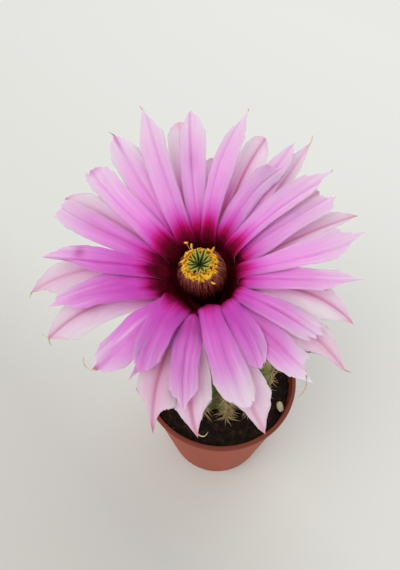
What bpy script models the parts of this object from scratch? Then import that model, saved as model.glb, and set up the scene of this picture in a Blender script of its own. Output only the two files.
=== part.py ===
# A hedgehog cactus in bloom in its small plastic pot: pot, soil, loose stones, ribbed stem with
# spines, and one large flower made of a scaly tube, two sets of petals, stamens and style.
# Metres, +Z up, origin at the centre of the pot's foot. The flower looks up and towards -Y.

import math
import random

import bmesh
import bpy
from mathutils import Matrix, Vector

MM = 0.001

# Pot: a thin moulded plastic pot with a slight bead at its rim and holes in its flat floor
POT_RIM_RADIUS = 27.5 * MM
POT_HEIGHT = 49.0 * MM
POT_FOOT_RADIUS = 19.5 * MM
POT_WALL = 1.0 * MM
POT_LIP_WIDTH = 0.4 * MM
POT_LIP_DEPTH = 1.6 * MM
POT_SIDES = 36
DRAIN_RADIUS = 1.8 * MM
DRAIN_RING_RADIUS = 11.0 * MM
DRAIN_COUNT = 6

# Gap between pieces that touch on the real plant
CLEARANCE = 0.3 * MM

# Soil
SOIL_LEVEL = 45.0 * MM
SOIL_ROUGHNESS = 0.6 * MM
SOIL_DIMPLE = 0.5 * MM
SOIL_SIDES = 36

# Pale stone lying on the soil against the pot's wall
STONE_BEARING = math.radians(332)
STONE_DISTANCE = 23.9 * MM
STONE_POINTING = math.radians(95)
STONE_HALF_LENGTH = 2.1 * MM
STONE_HALF_WIDTH = 1.25 * MM
STONE_HALF_HEIGHT = 1.0 * MM

# Stem
STEM_CENTRE = Vector((2.0 * MM, 0.0, 0.0))
STEM_RADIUS = 15.6 * MM
STEM_HEIGHT = 34.5 * MM
STEM_ROOT_RADIUS = 11.0 * MM
STEM_ROOT_DEPTH = 14.0 * MM
RIB_COUNT = 12
RIB_DEPTH = 0.17
TUBERCLE_SWELL = 0.045
AREOLE_ROWS = 5
STEM_SIDES_PER_RIB = 4
STEM_ROWS = 14

# Spines: each areole carries a few, lying out like a comb
SPINE_LENGTH = 5.0 * MM
SPINE_RADIUS = 0.33 * MM
SPINE_ROOT = 0.9 * MM

# Flower: the throat's centre, and how far its axis leans to the left and to the front
THROAT_CENTRE = Vector((-6.8 * MM, 0.0, 108.2 * MM))
LEAN_LEFT = math.radians(7)
LEAN_FRONT = math.radians(12)
TUBE_LENGTH = 29.0 * MM
TUBE_BASE_RADIUS = 5.0 * MM
TUBE_TOP_RADIUS = 14.4 * MM
TUBE_SOCKET_DEPTH = 7.5 * MM
TUBE_SIDES = 20

# Petals: they climb the throat's wall, turn over a round shoulder and spread. All layers follow
# one profile, each a little inside the one above it.
THROAT_WALL_RADIUS = 9.2 * MM
SHOULDER_RADIUS = 10.2 * MM
SHOULDER_BEND = 3.2 * MM
PETAL_ROOT_HEIGHT = -9.0 * MM
LEVEL_STEP = 0.85 * MM
OUTER_EXTRA = 0.9 * MM
SPREAD_MIDDLE = 11.0
SPREAD_SWING = 11.0
PETAL_ARCH = 1.0 * MM
PETAL_THICKNESS = 0.7 * MM
INNER_CUP = 0.14
OUTER_CUP = 0.07
PETAL_STATIONS = 6
PETAL_COLUMNS = (-1.0, -0.5, 0.0, 0.5, 1.0)

# How far each column of a petal ends short of its tip, in millimetres, from edge to edge
PETAL_ENDS = {
    "point": (6.5, 3.4, 0.0, 2.8, 6.0),
    "round": (3.6, 0.6, 0.4, 0.8, 3.2),
    "ragged": (3.6, 2.6, 2.0, 0.0, 2.6),
    "torn": (2.6, 0.0, 2.2, 1.2, 4.4),
    "forked": (5.0, 1.6, 1.4, 0.0, 4.2),
}

# Petals as they stand in the flower: bearing round its axis in degrees (0 to the right, 90 to the
# back), reach from the axis and width in millimetres, level from the top, turn of the tip, end
INNER_PETALS = [
    (4, 42, 10.5, 0, 1, "ragged"),
    (20, 40, 9.0, 2, 2, "point"),
    (33, 42, 10.0, 0, -2, "torn"),
    (49, 43, 9.5, 2, 0, "forked"),
    (56, 36, 10.0, 1, -10, "torn"),
    (74, 45, 10.5, 0, -4, "forked"),
    (90, 45, 10.0, 1, 1, "point"),
    (105, 48, 10.0, 0, 3, "point"),
    (119, 47, 9.5, 2, 3, "point"),
    (136, 41, 11.0, 0, 1, "round"),
    (157, 42, 10.5, 1, 0, "forked"),
    (175, 42, 9.0, 0, 1, "point"),
    (190, 41, 10.5, 1, 4, "point"),
    (227, 38, 11.0, 0, -3, "round"),
    (243, 31, 10.0, 1, -1, "round"),
    (241, 34, 8.0, 3, -1, "point"),
    (263, 37, 10.0, 2, 0, "forked"),
    (282, 36, 10.5, 0, 2, "torn"),
    (297, 31, 10.0, 1, 1, "round"),
    (312, 39, 11.5, 0, 1, "torn"),
    (328, 35, 9.5, 2, 1, "torn"),
    (348, 41, 10.5, 1, 4, "forked"),
]
OUTER_PETALS = [
    (15, 44, 9.0, 5, 2, "point"),
    (28, 39, 8.5, 4, -2, "round"),
    (44, 48, 9.0, 5, 2, "point"),
    (65, 43, 9.5, 4, -4, "round"),
    (81, 38, 9.0, 5, 0, "round"),
    (97, 46, 10.0, 4, 0, "forked"),
    (145, 45, 10.5, 4, 2, "point"),
    (181, 47, 11.0, 5, 3, "forked"),
    (204, 44, 10.5, 4, 0, "point"),
    (228, 34, 9.0, 5, 0, "point"),
    (252, 43, 11.0, 4, 3, "point"),
    (268, 42, 9.5, 5, 0, "point"),
    (291, 44, 11.5, 4, -1, "point"),
    (305, 34, 8.5, 5, 0, "point"),
    (321, 44, 10.0, 4, 0, "point"),
    (338, 41, 9.5, 5, -1, "point"),
]

# Throat cup, stamens and style, in the flower's frame
THROAT_DEPTH = 15.5 * MM
STAMEN_BORE = 2.0 * MM
STAMEN_SIDES = 36
STAMEN_RIDGE = 0.18 * MM
ANTHER_HALF_LENGTH = 0.85 * MM
ANTHER_HALF_WIDTH = 0.38 * MM
STYLE_RADIUS = 1.2 * MM
STIGMA_LOBES = 12
LOBE_LENGTH = 4.1 * MM
LOBE_RADIUS = 0.48 * MM


def clear_scene():
    for obj in list(bpy.data.objects):
        bpy.data.objects.remove(obj, do_unlink=True)


def material(name, colour, roughness, metallic=0.0):
    made = bpy.data.materials.new(name)
    made.use_nodes = True
    shader = made.node_tree.nodes["Principled BSDF"]
    shader.inputs["Base Color"].default_value = (*colour, 1.0)
    shader.inputs["Roughness"].default_value = roughness
    shader.inputs["Metallic"].default_value = metallic
    return made


def shade(mesh):
    """Smooth shading, with the sharp edges kept sharp."""
    mesh.shade_smooth()
    mesh.set_sharp_from_angle(angle=math.radians(35))


def mesh_object(name, points, faces, finish=None, smooth=False):
    mesh = bpy.data.meshes.new(name)
    mesh.from_pydata([tuple(p) for p in points], [], faces)
    if smooth:
        shade(mesh)
    if finish:
        mesh.materials.append(finish)
    obj = bpy.data.objects.new(name, mesh)
    bpy.context.scene.collection.objects.link(obj)
    return obj


def smoothstep(x):
    x = min(max(x, 0.0), 1.0)
    return x * x * (3 - 2 * x)


def lathe(name, rings, finish=None, closed=False, smooth=True):
    """A turned body. Each ring is a list of points round the axis; the last ring joins the first
    where the outline is closed, and otherwise a flat face closes each end."""
    count = len(rings[0])
    points = [p for ring in rings for p in ring]
    faces = []
    pairs = [(k, k + 1) for k in range(len(rings) - 1)]
    if closed:
        pairs.append((len(rings) - 1, 0))
    for low, high in pairs:
        for i in range(count):
            j = (i + 1) % count
            faces.append((low * count + i, low * count + j, high * count + j, high * count + i))
    if not closed:
        faces.append(tuple(reversed(range(count))))
        faces.append(tuple(range(len(points) - count, len(points))))
    return mesh_object(name, points, faces, finish, smooth)


def circle(radius, height, sides):
    turn = 2 * math.pi / sides
    return [
        Vector((radius * math.cos(turn * i), radius * math.sin(turn * i), height))
        for i in range(sides)
    ]


def settle(obj):
    """Leaves the object as its modifiers make it, without the modifiers."""
    bpy.context.view_layer.update()
    graph = bpy.context.evaluated_depsgraph_get()
    made = bpy.data.meshes.new_from_object(obj.evaluated_get(graph))
    shade(made)
    obj.modifiers.clear()
    obj.data = made
    return obj


def fill_pockets(obj):
    """Fills the air pockets sealed between pieces that were joined."""
    mesh = bmesh.new()
    mesh.from_mesh(obj.data)
    left = set(mesh.faces)
    while left:
        shell, edge = [], [left.pop()]
        while edge:
            face = edge.pop()
            shell.append(face)
            for side in face.edges:
                for near in side.link_faces:
                    if near in left:
                        left.remove(near)
                        edge.append(near)
        volume = 0.0
        for face in shell:
            first, *others = [loop.vert.co for loop in face.loops]
            volume += sum(first.dot(b.cross(c)) for b, c in zip(others, others[1:])) / 6
        if volume < 0:
            bmesh.ops.delete(mesh, geom=shell, context="FACES")
            left = {face for face in left if face.is_valid}
    bmesh.ops.delete(mesh, geom=[v for v in mesh.verts if not v.link_faces], context="VERTS")
    mesh.to_mesh(obj.data)
    mesh.free()


def fuse(body, repeats):
    """Joins the repeats to the body they grow from, as one solid."""
    group = bpy.data.collections.new(body.name + "_repeats")
    bpy.context.scene.collection.children.link(group)
    for obj in repeats:
        bpy.context.scene.collection.objects.unlink(obj)
        group.objects.link(obj)
    join = body.modifiers.new("join", "BOOLEAN")
    join.operation = "UNION"
    join.operand_type = "COLLECTION"
    join.collection = group
    join.solver = "MANIFOLD"
    settle(body)
    fill_pockets(body)
    for obj in repeats:
        bpy.data.objects.remove(obj, do_unlink=True)
    bpy.data.collections.remove(group)
    return body


def cut(body, cutters):
    for cutter in cutters:
        cutter.hide_render = True
        cutter.display_type = "WIRE"
        notch = body.modifiers.new(cutter.name, "BOOLEAN")
        notch.operation = "DIFFERENCE"
        notch.object = cutter
        notch.solver = "EXACT"
    settle(body)
    for cutter in cutters:
        bpy.data.objects.remove(cutter, do_unlink=True)
    return body


def post(name, start, end, radius, sides):
    """A straight round bar between two points."""
    axis = (end - start).normalized()
    side = axis.orthogonal().normalized()
    other = axis.cross(side)
    turn = 2 * math.pi / sides
    rings = [
        [
            centre + radius * (math.cos(turn * i) * side + math.sin(turn * i) * other)
            for i in range(sides)
        ]
        for centre in (start, end)
    ]
    return lathe(name, rings, smooth=False)


def needle(name, root, tip, radius, sides=3):
    """A spine: a slim cone with its root at one point and its end at the other."""
    axis = (tip - root).normalized()
    side = axis.orthogonal().normalized()
    other = axis.cross(side)
    turn = 2 * math.pi / sides
    points = [
        root + radius * (math.cos(turn * i) * side + math.sin(turn * i) * other)
        for i in range(sides)
    ]
    points.append(tip)
    faces = [tuple(reversed(range(sides)))]
    faces += [(i, (i + 1) % sides, sides) for i in range(sides)]
    return mesh_object(name, points, faces)


# Pot and what it holds


def pot_outer_radius(height):
    share = height / POT_HEIGHT
    return POT_FOOT_RADIUS + (POT_RIM_RADIUS - POT_LIP_WIDTH - POT_FOOT_RADIUS) * share


def make_pot(finish):
    lip_low = POT_HEIGHT - POT_LIP_DEPTH
    bevel = 0.4 * MM
    outline = [
        (POT_FOOT_RADIUS - bevel, 0.0),
        (pot_outer_radius(bevel), bevel),
        (pot_outer_radius(lip_low - bevel), lip_low - bevel),
        (POT_RIM_RADIUS - bevel, lip_low),
        (POT_RIM_RADIUS, lip_low + bevel),
        (POT_RIM_RADIUS, POT_HEIGHT - bevel),
        (POT_RIM_RADIUS - bevel, POT_HEIGHT),
        (pot_outer_radius(POT_HEIGHT) - POT_WALL, POT_HEIGHT),
        (pot_outer_radius(POT_WALL) - POT_WALL, POT_WALL),
    ]
    pot = lathe("pot", [circle(radius, height, POT_SIDES) for radius, height in outline], finish)
    drains = []
    for k in range(DRAIN_COUNT):
        angle = 2 * math.pi * (k + 0.5) / DRAIN_COUNT
        x = DRAIN_RING_RADIUS * math.cos(angle)
        y = DRAIN_RING_RADIUS * math.sin(angle)
        low, high = Vector((x, y, -POT_WALL)), Vector((x, y, 2 * POT_WALL))
        drains.append(post("drain_%d" % k, low, high, DRAIN_RADIUS, 8))
    return cut(pot, drains)


def soil_height(x, y):
    """The crumbled surface of the soil, dimpled where the stem goes in."""
    waves = (
        math.sin(x / MM * 0.9 + 1.3) * math.cos(y / MM * 0.8 - 0.4)
        + 0.6 * math.sin(x / MM * 1.9 - y / MM * 1.3)
        + 0.4 * math.cos(x / MM * 0.7 + y / MM * 2.3)
    )
    away = math.hypot(x - STEM_CENTRE.x, y - STEM_CENTRE.y) - STEM_ROOT_RADIUS
    open_ground = smoothstep(away / (5 * MM))
    return SOIL_LEVEL + 0.5 * SOIL_ROUGHNESS * waves * open_ground - SOIL_DIMPLE * (1 - open_ground)


def make_soil(finish):
    floor = POT_WALL + CLEARANCE
    wall_gap = POT_WALL + CLEARANCE
    low_radius = pot_outer_radius(floor) - wall_gap
    edge_radius = pot_outer_radius(SOIL_LEVEL) - wall_gap - 0.1 * MM
    hole_radius = STEM_ROOT_RADIUS + CLEARANCE
    hole_floor = SOIL_LEVEL - STEM_ROOT_DEPTH - CLEARANCE
    rings = [circle(low_radius - 1 * MM, floor, SOIL_SIDES), circle(low_radius, floor, SOIL_SIDES)]
    edge = circle(edge_radius, SOIL_LEVEL, SOIL_SIDES)
    rings.append([Vector((p.x, p.y, soil_height(p.x, p.y) - 0.6 * MM)) for p in edge])
    rim = [STEM_CENTRE + p for p in circle(hole_radius, SOIL_LEVEL - SOIL_DIMPLE, SOIL_SIDES)]
    for share in (0.16, 0.4, 0.66, 0.88):
        ring = []
        for p, q in zip(edge, rim):
            spot = p.lerp(q, share)
            ring.append(Vector((spot.x, spot.y, soil_height(spot.x, spot.y))))
        rings.append(ring)
    rings.append(rim)
    rings.append([STEM_CENTRE + p for p in circle(hole_radius, hole_floor, SOIL_SIDES)])
    return lathe("soil", rings, finish)


def make_stone(finish):
    """A rounded grain lying on the soil."""
    x = STONE_DISTANCE * math.cos(STONE_BEARING)
    y = STONE_DISTANCE * math.sin(STONE_BEARING)
    ahead = Vector((math.cos(STONE_POINTING), math.sin(STONE_POINTING), 0))
    across = Vector((-ahead.y, ahead.x, 0))
    steps = (-1, -0.5, 0, 0.5, 1)
    ground = max(
        soil_height(x + a * STONE_HALF_WIDTH, y + b * STONE_HALF_LENGTH) for a in steps for b in steps
    )
    centre = Vector((x, y, ground + CLEARANCE + STONE_HALF_HEIGHT))
    rings = []
    for step in (-0.94, -0.5, 0.0, 0.5, 0.94):
        share = math.sqrt(1 - step * step)
        ring = []
        for i in range(10):
            turn = 2 * math.pi * i / 10
            wide = share * STONE_HALF_WIDTH * math.cos(turn)
            high = share * STONE_HALF_HEIGHT * math.sin(turn)
            ring.append(centre + step * STONE_HALF_LENGTH * ahead + wide * across + high * Vector((0, 0, 1)))
        rings.append(ring)
    return lathe("stone", rings, finish)


# Stem


def stem_profile(height):
    """Radius of the stem's core at a height above the soil: a short barrel with a domed top."""
    share = height / STEM_HEIGHT
    if share < 0.55:
        return STEM_RADIUS * (0.96 + 0.04 * math.sin(math.pi * share / 1.1))
    fall = (share - 0.55) / 0.45
    return STEM_RADIUS * math.sqrt(max(1 - fall ** 2.3, 0.0))


def stem_point(height, angle):
    """A point on the ribbed skin: the ribs run down the stem and swell at each areole."""
    share = height / STEM_HEIGHT
    crest = 0.5 + 0.5 * math.cos(RIB_COUNT * angle)
    depth = RIB_DEPTH * smoothstep(share / 0.08) * (1 - 0.6 * smoothstep((share - 0.8) / 0.2))
    rows = share * (AREOLE_ROWS + 0.5)
    swell = TUBERCLE_SWELL * crest * (0.5 - 0.5 * math.cos(2 * math.pi * rows))
    radius = stem_profile(height) * (1 - depth * (1 - crest) + swell)
    x = STEM_CENTRE.x + radius * math.cos(angle)
    y = STEM_CENTRE.y + radius * math.sin(angle)
    return Vector((x, y, SOIL_LEVEL + height))


def stem_normal(height, angle):
    step_up, step_round = 0.6 * MM, 0.04
    up = stem_point(height + step_up, angle) - stem_point(height - step_up, angle)
    across = stem_point(height, angle + step_round) - stem_point(height, angle - step_round)
    return across.cross(up).normalized()


def flower_frame():
    """The flower's frame: its origin in the throat, its z axis along the tube."""
    axis = Vector((-math.tan(LEAN_LEFT), -math.tan(LEAN_FRONT), 1)).normalized()
    right = (Vector((1, 0, 0)) - axis.x * axis).normalized()
    back = axis.cross(right)
    frame = Matrix((right, back, axis)).transposed().to_4x4()
    frame.translation = THROAT_CENTRE
    return frame


def areoles():
    """Heights and bearings of the areoles on the rib crests, left out where the flower stands."""
    frame = flower_frame()
    tube_base = frame @ Vector((0, 0, -TUBE_LENGTH))
    found = []
    for rib in range(RIB_COUNT):
        angle = 2 * math.pi * rib / RIB_COUNT
        for row in range(AREOLE_ROWS):
            height = STEM_HEIGHT * (row + 0.5) / (AREOLE_ROWS + 0.5)
            spot = stem_point(height, angle)
            if (spot - tube_base).length > TUBE_BASE_RADIUS + 6.0 * MM:
                found.append((height, angle))
    return found


def make_stem(finish):
    sides = RIB_COUNT * STEM_SIDES_PER_RIB
    bearings = [2 * math.pi * i / sides for i in range(sides)]
    root = [(0.45, STEM_ROOT_DEPTH), (1.0, STEM_ROOT_DEPTH * 0.72), (1.0, -0.3 * MM)]
    rings = []
    for share, depth in root:
        radius = share * STEM_ROOT_RADIUS
        rings.append([
            STEM_CENTRE + Vector((radius * math.cos(a), radius * math.sin(a), SOIL_LEVEL - depth))
            for a in bearings
        ])
    for row in range(STEM_ROWS):
        share = (row / (STEM_ROWS - 1)) ** 0.92
        height = 2.2 * MM + (STEM_HEIGHT * 0.985 - 2.2 * MM) * share
        rings.append([stem_point(height, a) for a in bearings])
    stem = lathe("stem", rings, finish)
    spines = []
    for k, (height, angle) in enumerate(areoles()):
        normal = stem_normal(height, angle)
        up = Vector((0, 0, 1)) - normal.z * normal
        up.normalize()
        across = normal.cross(up)
        root_point = stem_point(height, angle) - SPINE_ROOT * normal
        fan = (80, 200, 320) if height > 0.2 * STEM_HEIGHT else (60, 145)
        for turn in fan:
            bearing = math.radians(turn + 17 * (k % 3))
            out = math.cos(bearing) * across + math.sin(bearing) * up
            away = (0.55 * normal + 0.83 * out).normalized()
            length = SPINE_LENGTH + SPINE_ROOT
            spines.append(needle("spine", root_point, root_point + length * away, SPINE_RADIUS))
    stem = fuse(stem, spines)
    frame = flower_frame()
    low = frame @ Vector((0, 0, -TUBE_LENGTH - TUBE_SOCKET_DEPTH))
    high = frame @ Vector((0, 0, -TUBE_LENGTH + 12 * MM))
    socket = post("socket", low, high, TUBE_BASE_RADIUS + CLEARANCE, 24)
    return cut(stem, [socket])


# Flower, built in its own frame


def spread_angle(bearing):
    """How steeply the petals rise: nearly level at the front, higher at the back."""
    return math.radians(SPREAD_MIDDLE + SPREAD_SWING * math.sin(math.radians(bearing)))


def petal_spot(distance, bearing, drop):
    """A point on a petal layer and the layer's normal there, in the upright plane at a bearing.
    The distance runs from the root up the throat's wall, round the shoulder and out along the
    spread. Layers lie further out and further down by the drop."""
    rise = spread_angle(bearing)
    turned = (math.pi / 2 - rise) * SHOULDER_BEND
    centre_radius = THROAT_WALL_RADIUS + SHOULDER_BEND
    centre_height = (centre_radius - SHOULDER_RADIUS) * math.tan(rise) - SHOULDER_BEND / math.cos(rise)
    distance -= centre_height - drop - PETAL_ROOT_HEIGHT
    if distance < 0:
        return (THROAT_WALL_RADIUS + drop, centre_height - drop + distance), (-1.0, 0.0)
    angle = math.pi - min(distance, turned) / SHOULDER_BEND
    normal = (math.cos(angle), math.sin(angle))
    radius = centre_radius + drop + SHOULDER_BEND * normal[0]
    height = centre_height - drop + SHOULDER_BEND * normal[1]
    out = max(distance - turned, 0.0)
    arch = PETAL_ARCH * math.sin(math.pi * min(out / (26 * MM), 1.3))
    radius += out * math.cos(rise) + arch * normal[0]
    height += out * math.sin(rise) + arch * normal[1]
    return (radius, height), normal


def petal_length(reach, bearing, drop):
    """How far along its layer a petal runs to reach a radius."""
    low, high = 0.0, 2 * reach
    for _ in range(30):
        middle = (low + high) / 2
        if petal_spot(middle, bearing, drop)[0][0] < reach:
            low = middle
        else:
            high = middle
    return middle


def petal_half_width(share, width):
    swell = 0.58 + 0.42 * smoothstep((share - 0.15) / 0.6)
    close = 1 - 0.55 * smoothstep((share - 0.83) / 0.17)
    return 0.5 * width * swell * close


def make_petal(petal, outer):
    bearing, reach, width, level, turn, end = petal
    drop = LEVEL_STEP * level + (OUTER_EXTRA if outer else 0.0)
    hollow = OUTER_CUP if outer else INNER_CUP
    length = petal_length(reach * MM, bearing + turn, drop)
    top, bottom = [], []
    for station in range(PETAL_STATIONS + 1):
        share = (station / PETAL_STATIONS) ** 0.9
        for t, lost in zip(PETAL_COLUMNS, PETAL_ENDS[end]):
            distance = (length - lost * MM * share ** 3) * share
            half = petal_half_width(share, width * MM)
            middle = bearing + turn * share * share
            radius = petal_spot(distance, middle, drop)[0][0]
            side = math.degrees(math.atan2(t * half, radius))
            far = math.hypot(radius, t * half) - radius
            (radius, height), (lean, up) = petal_spot(distance, middle + side, drop)
            angle = math.radians(middle + side)
            radial = Vector((math.cos(angle), math.sin(angle), 0))
            normal = Vector((lean * radial.x, lean * radial.y, up))
            cup = hollow * half * abs(t) ** 1.5 * smoothstep(share / 0.45)
            spot = (radius + far) * radial + Vector((0, 0, height)) + cup * normal
            top.append(spot + 0.5 * PETAL_THICKNESS * normal)
            bottom.append(spot - 0.5 * PETAL_THICKNESS * normal)
    return blade("petal", top, bottom, PETAL_STATIONS + 1, len(PETAL_COLUMNS))


def blade(name, top, bottom, rows, columns):
    """A thin closed blade from two like grids of points, split into triangles alike on both."""
    points = top + bottom
    under = len(top)
    faces = []
    for row in range(rows - 1):
        for column in range(columns - 1):
            a = row * columns + column
            b, c, d = a + 1, a + columns + 1, a + columns
            for triangle in ((a, d, c), (a, c, b)):
                faces.append(triangle)
                faces.append(tuple(under + i for i in reversed(triangle)))
    border = [column for column in range(columns)]
    border += [row * columns + columns - 1 for row in range(1, rows)]
    border += [(rows - 1) * columns + column for column in range(columns - 2, -1, -1)]
    border += [row * columns for row in range(rows - 2, 0, -1)]
    for a, b in zip(border, border[1:] + border[:1]):
        faces.append((a, b, under + b))
        faces.append((a, under + b, under + a))
    return mesh_object(name, points, faces)


def make_inner_petals(finish):
    """The throat's cup with the inner petals growing out of its wall."""
    outline = [(6.2, -17.2), (9.6, -12.5), (12.3, -8.5), (12.35, -5.2), (11.9, -4.2)]
    outline += [(10.6, -4.3), (9.6, -5.6), (8.9, -7.4), (7.6, -12.0), (5.7, -15.5), (0.6, -15.5)]
    rings = [circle(radius * MM, height * MM, 36) for radius, height in outline]
    cup = lathe("inner_petals", rings, finish)
    return fuse(cup, [make_petal(petal, False) for petal in INNER_PETALS])


def make_outer_petals(finish):
    """The ring at the top of the tube with the outer petals growing out of it."""
    outline = [(12.95, -10.2), (15.0, -10.2), (15.4, -8.4), (15.1, -7.2), (13.7, -6.8), (12.95, -7.4)]
    rings = [circle(radius * MM, height * MM, 36) for radius, height in outline]
    ring = lathe("outer_petals", rings, finish, closed=True)
    return fuse(ring, [make_petal(petal, True) for petal in OUTER_PETALS])


def tube_radius(height):
    """Outer radius of the tube: a round ovary at the bottom, then a widening funnel."""
    share = (height + TUBE_LENGTH) / (TUBE_LENGTH - 10.5 * MM)
    ovary = 1.7 * MM * math.exp(-(((share - 0.3) / 0.22) ** 2))
    return TUBE_BASE_RADIUS + (TUBE_TOP_RADIUS - TUBE_BASE_RADIUS) * smoothstep(share) ** 1.2 + ovary


def make_tube(finish):
    """The green tube: solid at the ovary, a funnel above it that holds the throat's cup."""
    low = -TUBE_LENGTH - TUBE_SOCKET_DEPTH + CLEARANCE
    rings = [circle(TUBE_BASE_RADIUS, low, TUBE_SIDES)]
    for k in range(9):
        height = -TUBE_LENGTH + (TUBE_LENGTH - 10.5 * MM) * k / 8
        rings.append(circle(tube_radius(height), height, TUBE_SIDES))
    for radius, height in ((12.5, -10.5), (10.2, -12.9), (6.6, -17.6)):
        rings.append(circle(radius * MM, height * MM, TUBE_SIDES))
    tube = lathe("flower_tube", rings, finish)
    return fuse(tube, make_scales())


def make_scales():
    """Small pointed scales up the tube, each with a bristle in its axil."""
    scales = []
    for k in range(24):
        height = (-26.5 + 11.5 * k / 23) * MM
        angle = k * math.radians(137.5)
        radial = Vector((math.cos(angle), math.sin(angle), 0))
        side = Vector((-math.sin(angle), math.cos(angle), 0))
        up = Vector((0, 0, 1))
        foot = tube_radius(height) * radial + height * up
        slope = (tube_radius(height + MM) - tube_radius(height - MM)) / (2 * MM)
        climb = (up + slope * radial).normalized()
        out = (radial - slope * up).normalized()
        length = (2.8 + 1.2 * k / 23) * MM
        rows = [(0.0, 1.2 * MM, -0.6 * MM), (0.5, 1.0 * MM, 0.5 * MM), (1.0, 0.25 * MM, 1.2 * MM)]
        top, bottom = [], []
        for share, half, lift in rows:
            centre = foot + share * length * climb + lift * out
            for t in (1, 0, -1):
                spot = centre + t * half * side - 0.3 * MM * abs(t) * out
                top.append(spot + 0.3 * MM * out)
                bottom.append(spot - 0.3 * MM * out)
        scales.append(blade("scale", top, bottom, 3, 3))
        root = foot - 0.8 * MM * out
        aim = (0.75 * out + 0.55 * climb + 0.35 * (1 if k % 2 else -1) * side).normalized()
        scales.append(needle("bristle", root, root + 6.0 * MM * aim, SPINE_RADIUS))
    return scales


def stamen_radius(height):
    """The sheaf of filaments, drawn in at the bottom and at the anthers."""
    share = (height + THROAT_DEPTH) / (THROAT_DEPTH + 3.6 * MM)
    return (4.7 + 2.5 * math.sin(math.pi * share ** 1.8)) * MM


def make_stamens(finish):
    """The sheaf of filaments round the style, ridged, with its anthers standing round the top."""
    low, high = -THROAT_DEPTH + CLEARANCE, 3.2 * MM
    rings = []
    for k in range(9):
        height = low + (high - low) * k / 8
        ring = circle(stamen_radius(height), height, STAMEN_SIDES)
        for i, p in enumerate(ring):
            ridge = STAMEN_RIDGE * (1 if i % 2 else -1)
            p.x *= 1 + ridge / stamen_radius(height)
            p.y *= 1 + ridge / stamen_radius(height)
        rings.append(ring)
    rings.append(circle(3.4 * MM, high - 0.2 * MM, STAMEN_SIDES))
    rings.append(circle(STAMEN_BORE, high - 1.4 * MM, STAMEN_SIDES))
    rings.append(circle(STAMEN_BORE, low, STAMEN_SIDES))
    sheaf = lathe("stamens", rings, finish, closed=True)
    random.seed(7)
    anthers = []
    for ring_radius, ring_height, count in ((4.7, 2.4, 17), (4.1, 2.9, 15), (3.5, 2.7, 11)):
        for k in range(count):
            angle = 2 * math.pi * (k + random.uniform(-0.2, 0.2)) / count
            radial = Vector((math.cos(angle), math.sin(angle), 0))
            side = Vector((-math.sin(angle), math.cos(angle), 0))
            aim = random.uniform(0.3, 0.8) * radial + random.uniform(-0.7, 0.7) * side
            aim.z = 1.0
            height = (ring_height + random.uniform(0, 0.4)) * MM
            centre = ring_radius * MM * radial + Vector((0, 0, height))
            anthers.append(anther("anther", centre, aim.normalized()))
    return fuse(sheaf, anthers)


def anther(name, centre, aim):
    """A pollen sac: a small double-ended wedge."""
    side = aim.orthogonal().normalized()
    other = aim.cross(side)
    points = [centre + ANTHER_HALF_LENGTH * aim, centre - ANTHER_HALF_LENGTH * aim]
    for a, b in ((1, 0), (0, 1), (-1, 0), (0, -1)):
        points.append(centre + ANTHER_HALF_WIDTH * (a * side + b * other))
    faces = []
    for i in range(4):
        a, b = 2 + i, 2 + (i + 1) % 4
        faces.append((0, a, b))
        faces.append((1, b, a))
    return mesh_object(name, points, faces)


def make_style(finish):
    """The style with its star of stigma lobes spread in a shallow cup."""
    low, top = -THROAT_DEPTH + CLEARANCE, 3.6 * MM
    outline = [(STYLE_RADIUS, low), (STYLE_RADIUS, 1.8 * MM), (1.5 * MM, 3.0 * MM), (1.0 * MM, top)]
    rings = [circle(radius, height, 12) for radius, height in outline]
    style = lathe("style", rings, finish)
    lobes = []
    for k in range(STIGMA_LOBES):
        angle = 2 * math.pi * k / STIGMA_LOBES
        out = Vector((math.cos(angle), math.sin(angle), 0))
        root = 0.3 * MM * out + Vector((0, 0, 3.0 * MM))
        bend = root + 0.55 * LOBE_LENGTH * (out + Vector((0, 0, 0.55))).normalized()
        end = bend + 0.45 * LOBE_LENGTH * (out + Vector((0, 0, 1.1))).normalized()
        lobes.append(lobe("lobe", [root, bend, end]))
    return fuse(style, lobes)


def lobe(name, spine):
    """One stigma lobe: a bent finger, four-sided, narrowing to its end."""
    across = Vector((0, 0, 1)).cross(spine[-1] - spine[0]).normalized()
    rings = []
    for centre, share in zip(spine, (1.0, 1.0, 0.45)):
        up = (spine[-1] - spine[0]).cross(across).normalized()
        corners = ((1, 0), (0, 1), (-1, 0), (0, -1))
        rings.append([centre + share * LOBE_RADIUS * (a * across + b * up) for a, b in corners])
    return lathe(name, rings, smooth=False)


def main():
    clear_scene()
    make_pot(material("terracotta_plastic", (0.42, 0.11, 0.07), 0.45))
    make_soil(material("potting_soil", (0.02, 0.012, 0.008), 0.95))
    make_stone(material("pale_stone", (0.55, 0.5, 0.38), 0.6))
    make_stem(material("cactus_skin", (0.09, 0.13, 0.04), 0.55))
    flower = bpy.data.objects.new("flower_axis", None)
    bpy.context.scene.collection.objects.link(flower)
    flower.matrix_world = flower_frame()
    parts = [
        make_tube(material("tube_skin", (0.14, 0.13, 0.06), 0.6)),
        make_outer_petals(material("outer_petal", (0.75, 0.55, 0.68), 0.5)),
        make_inner_petals(material("inner_petal", (0.6, 0.12, 0.5), 0.45)),
        make_stamens(material("filament", (0.2, 0.03, 0.03), 0.5)),
        make_style(material("stigma", (0.12, 0.2, 0.04), 0.5)),
    ]
    for obj in parts:
        obj.parent = flower


main()
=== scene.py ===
import math

import bmesh
import bpy
from mathutils import Matrix, Vector, noise


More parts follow.
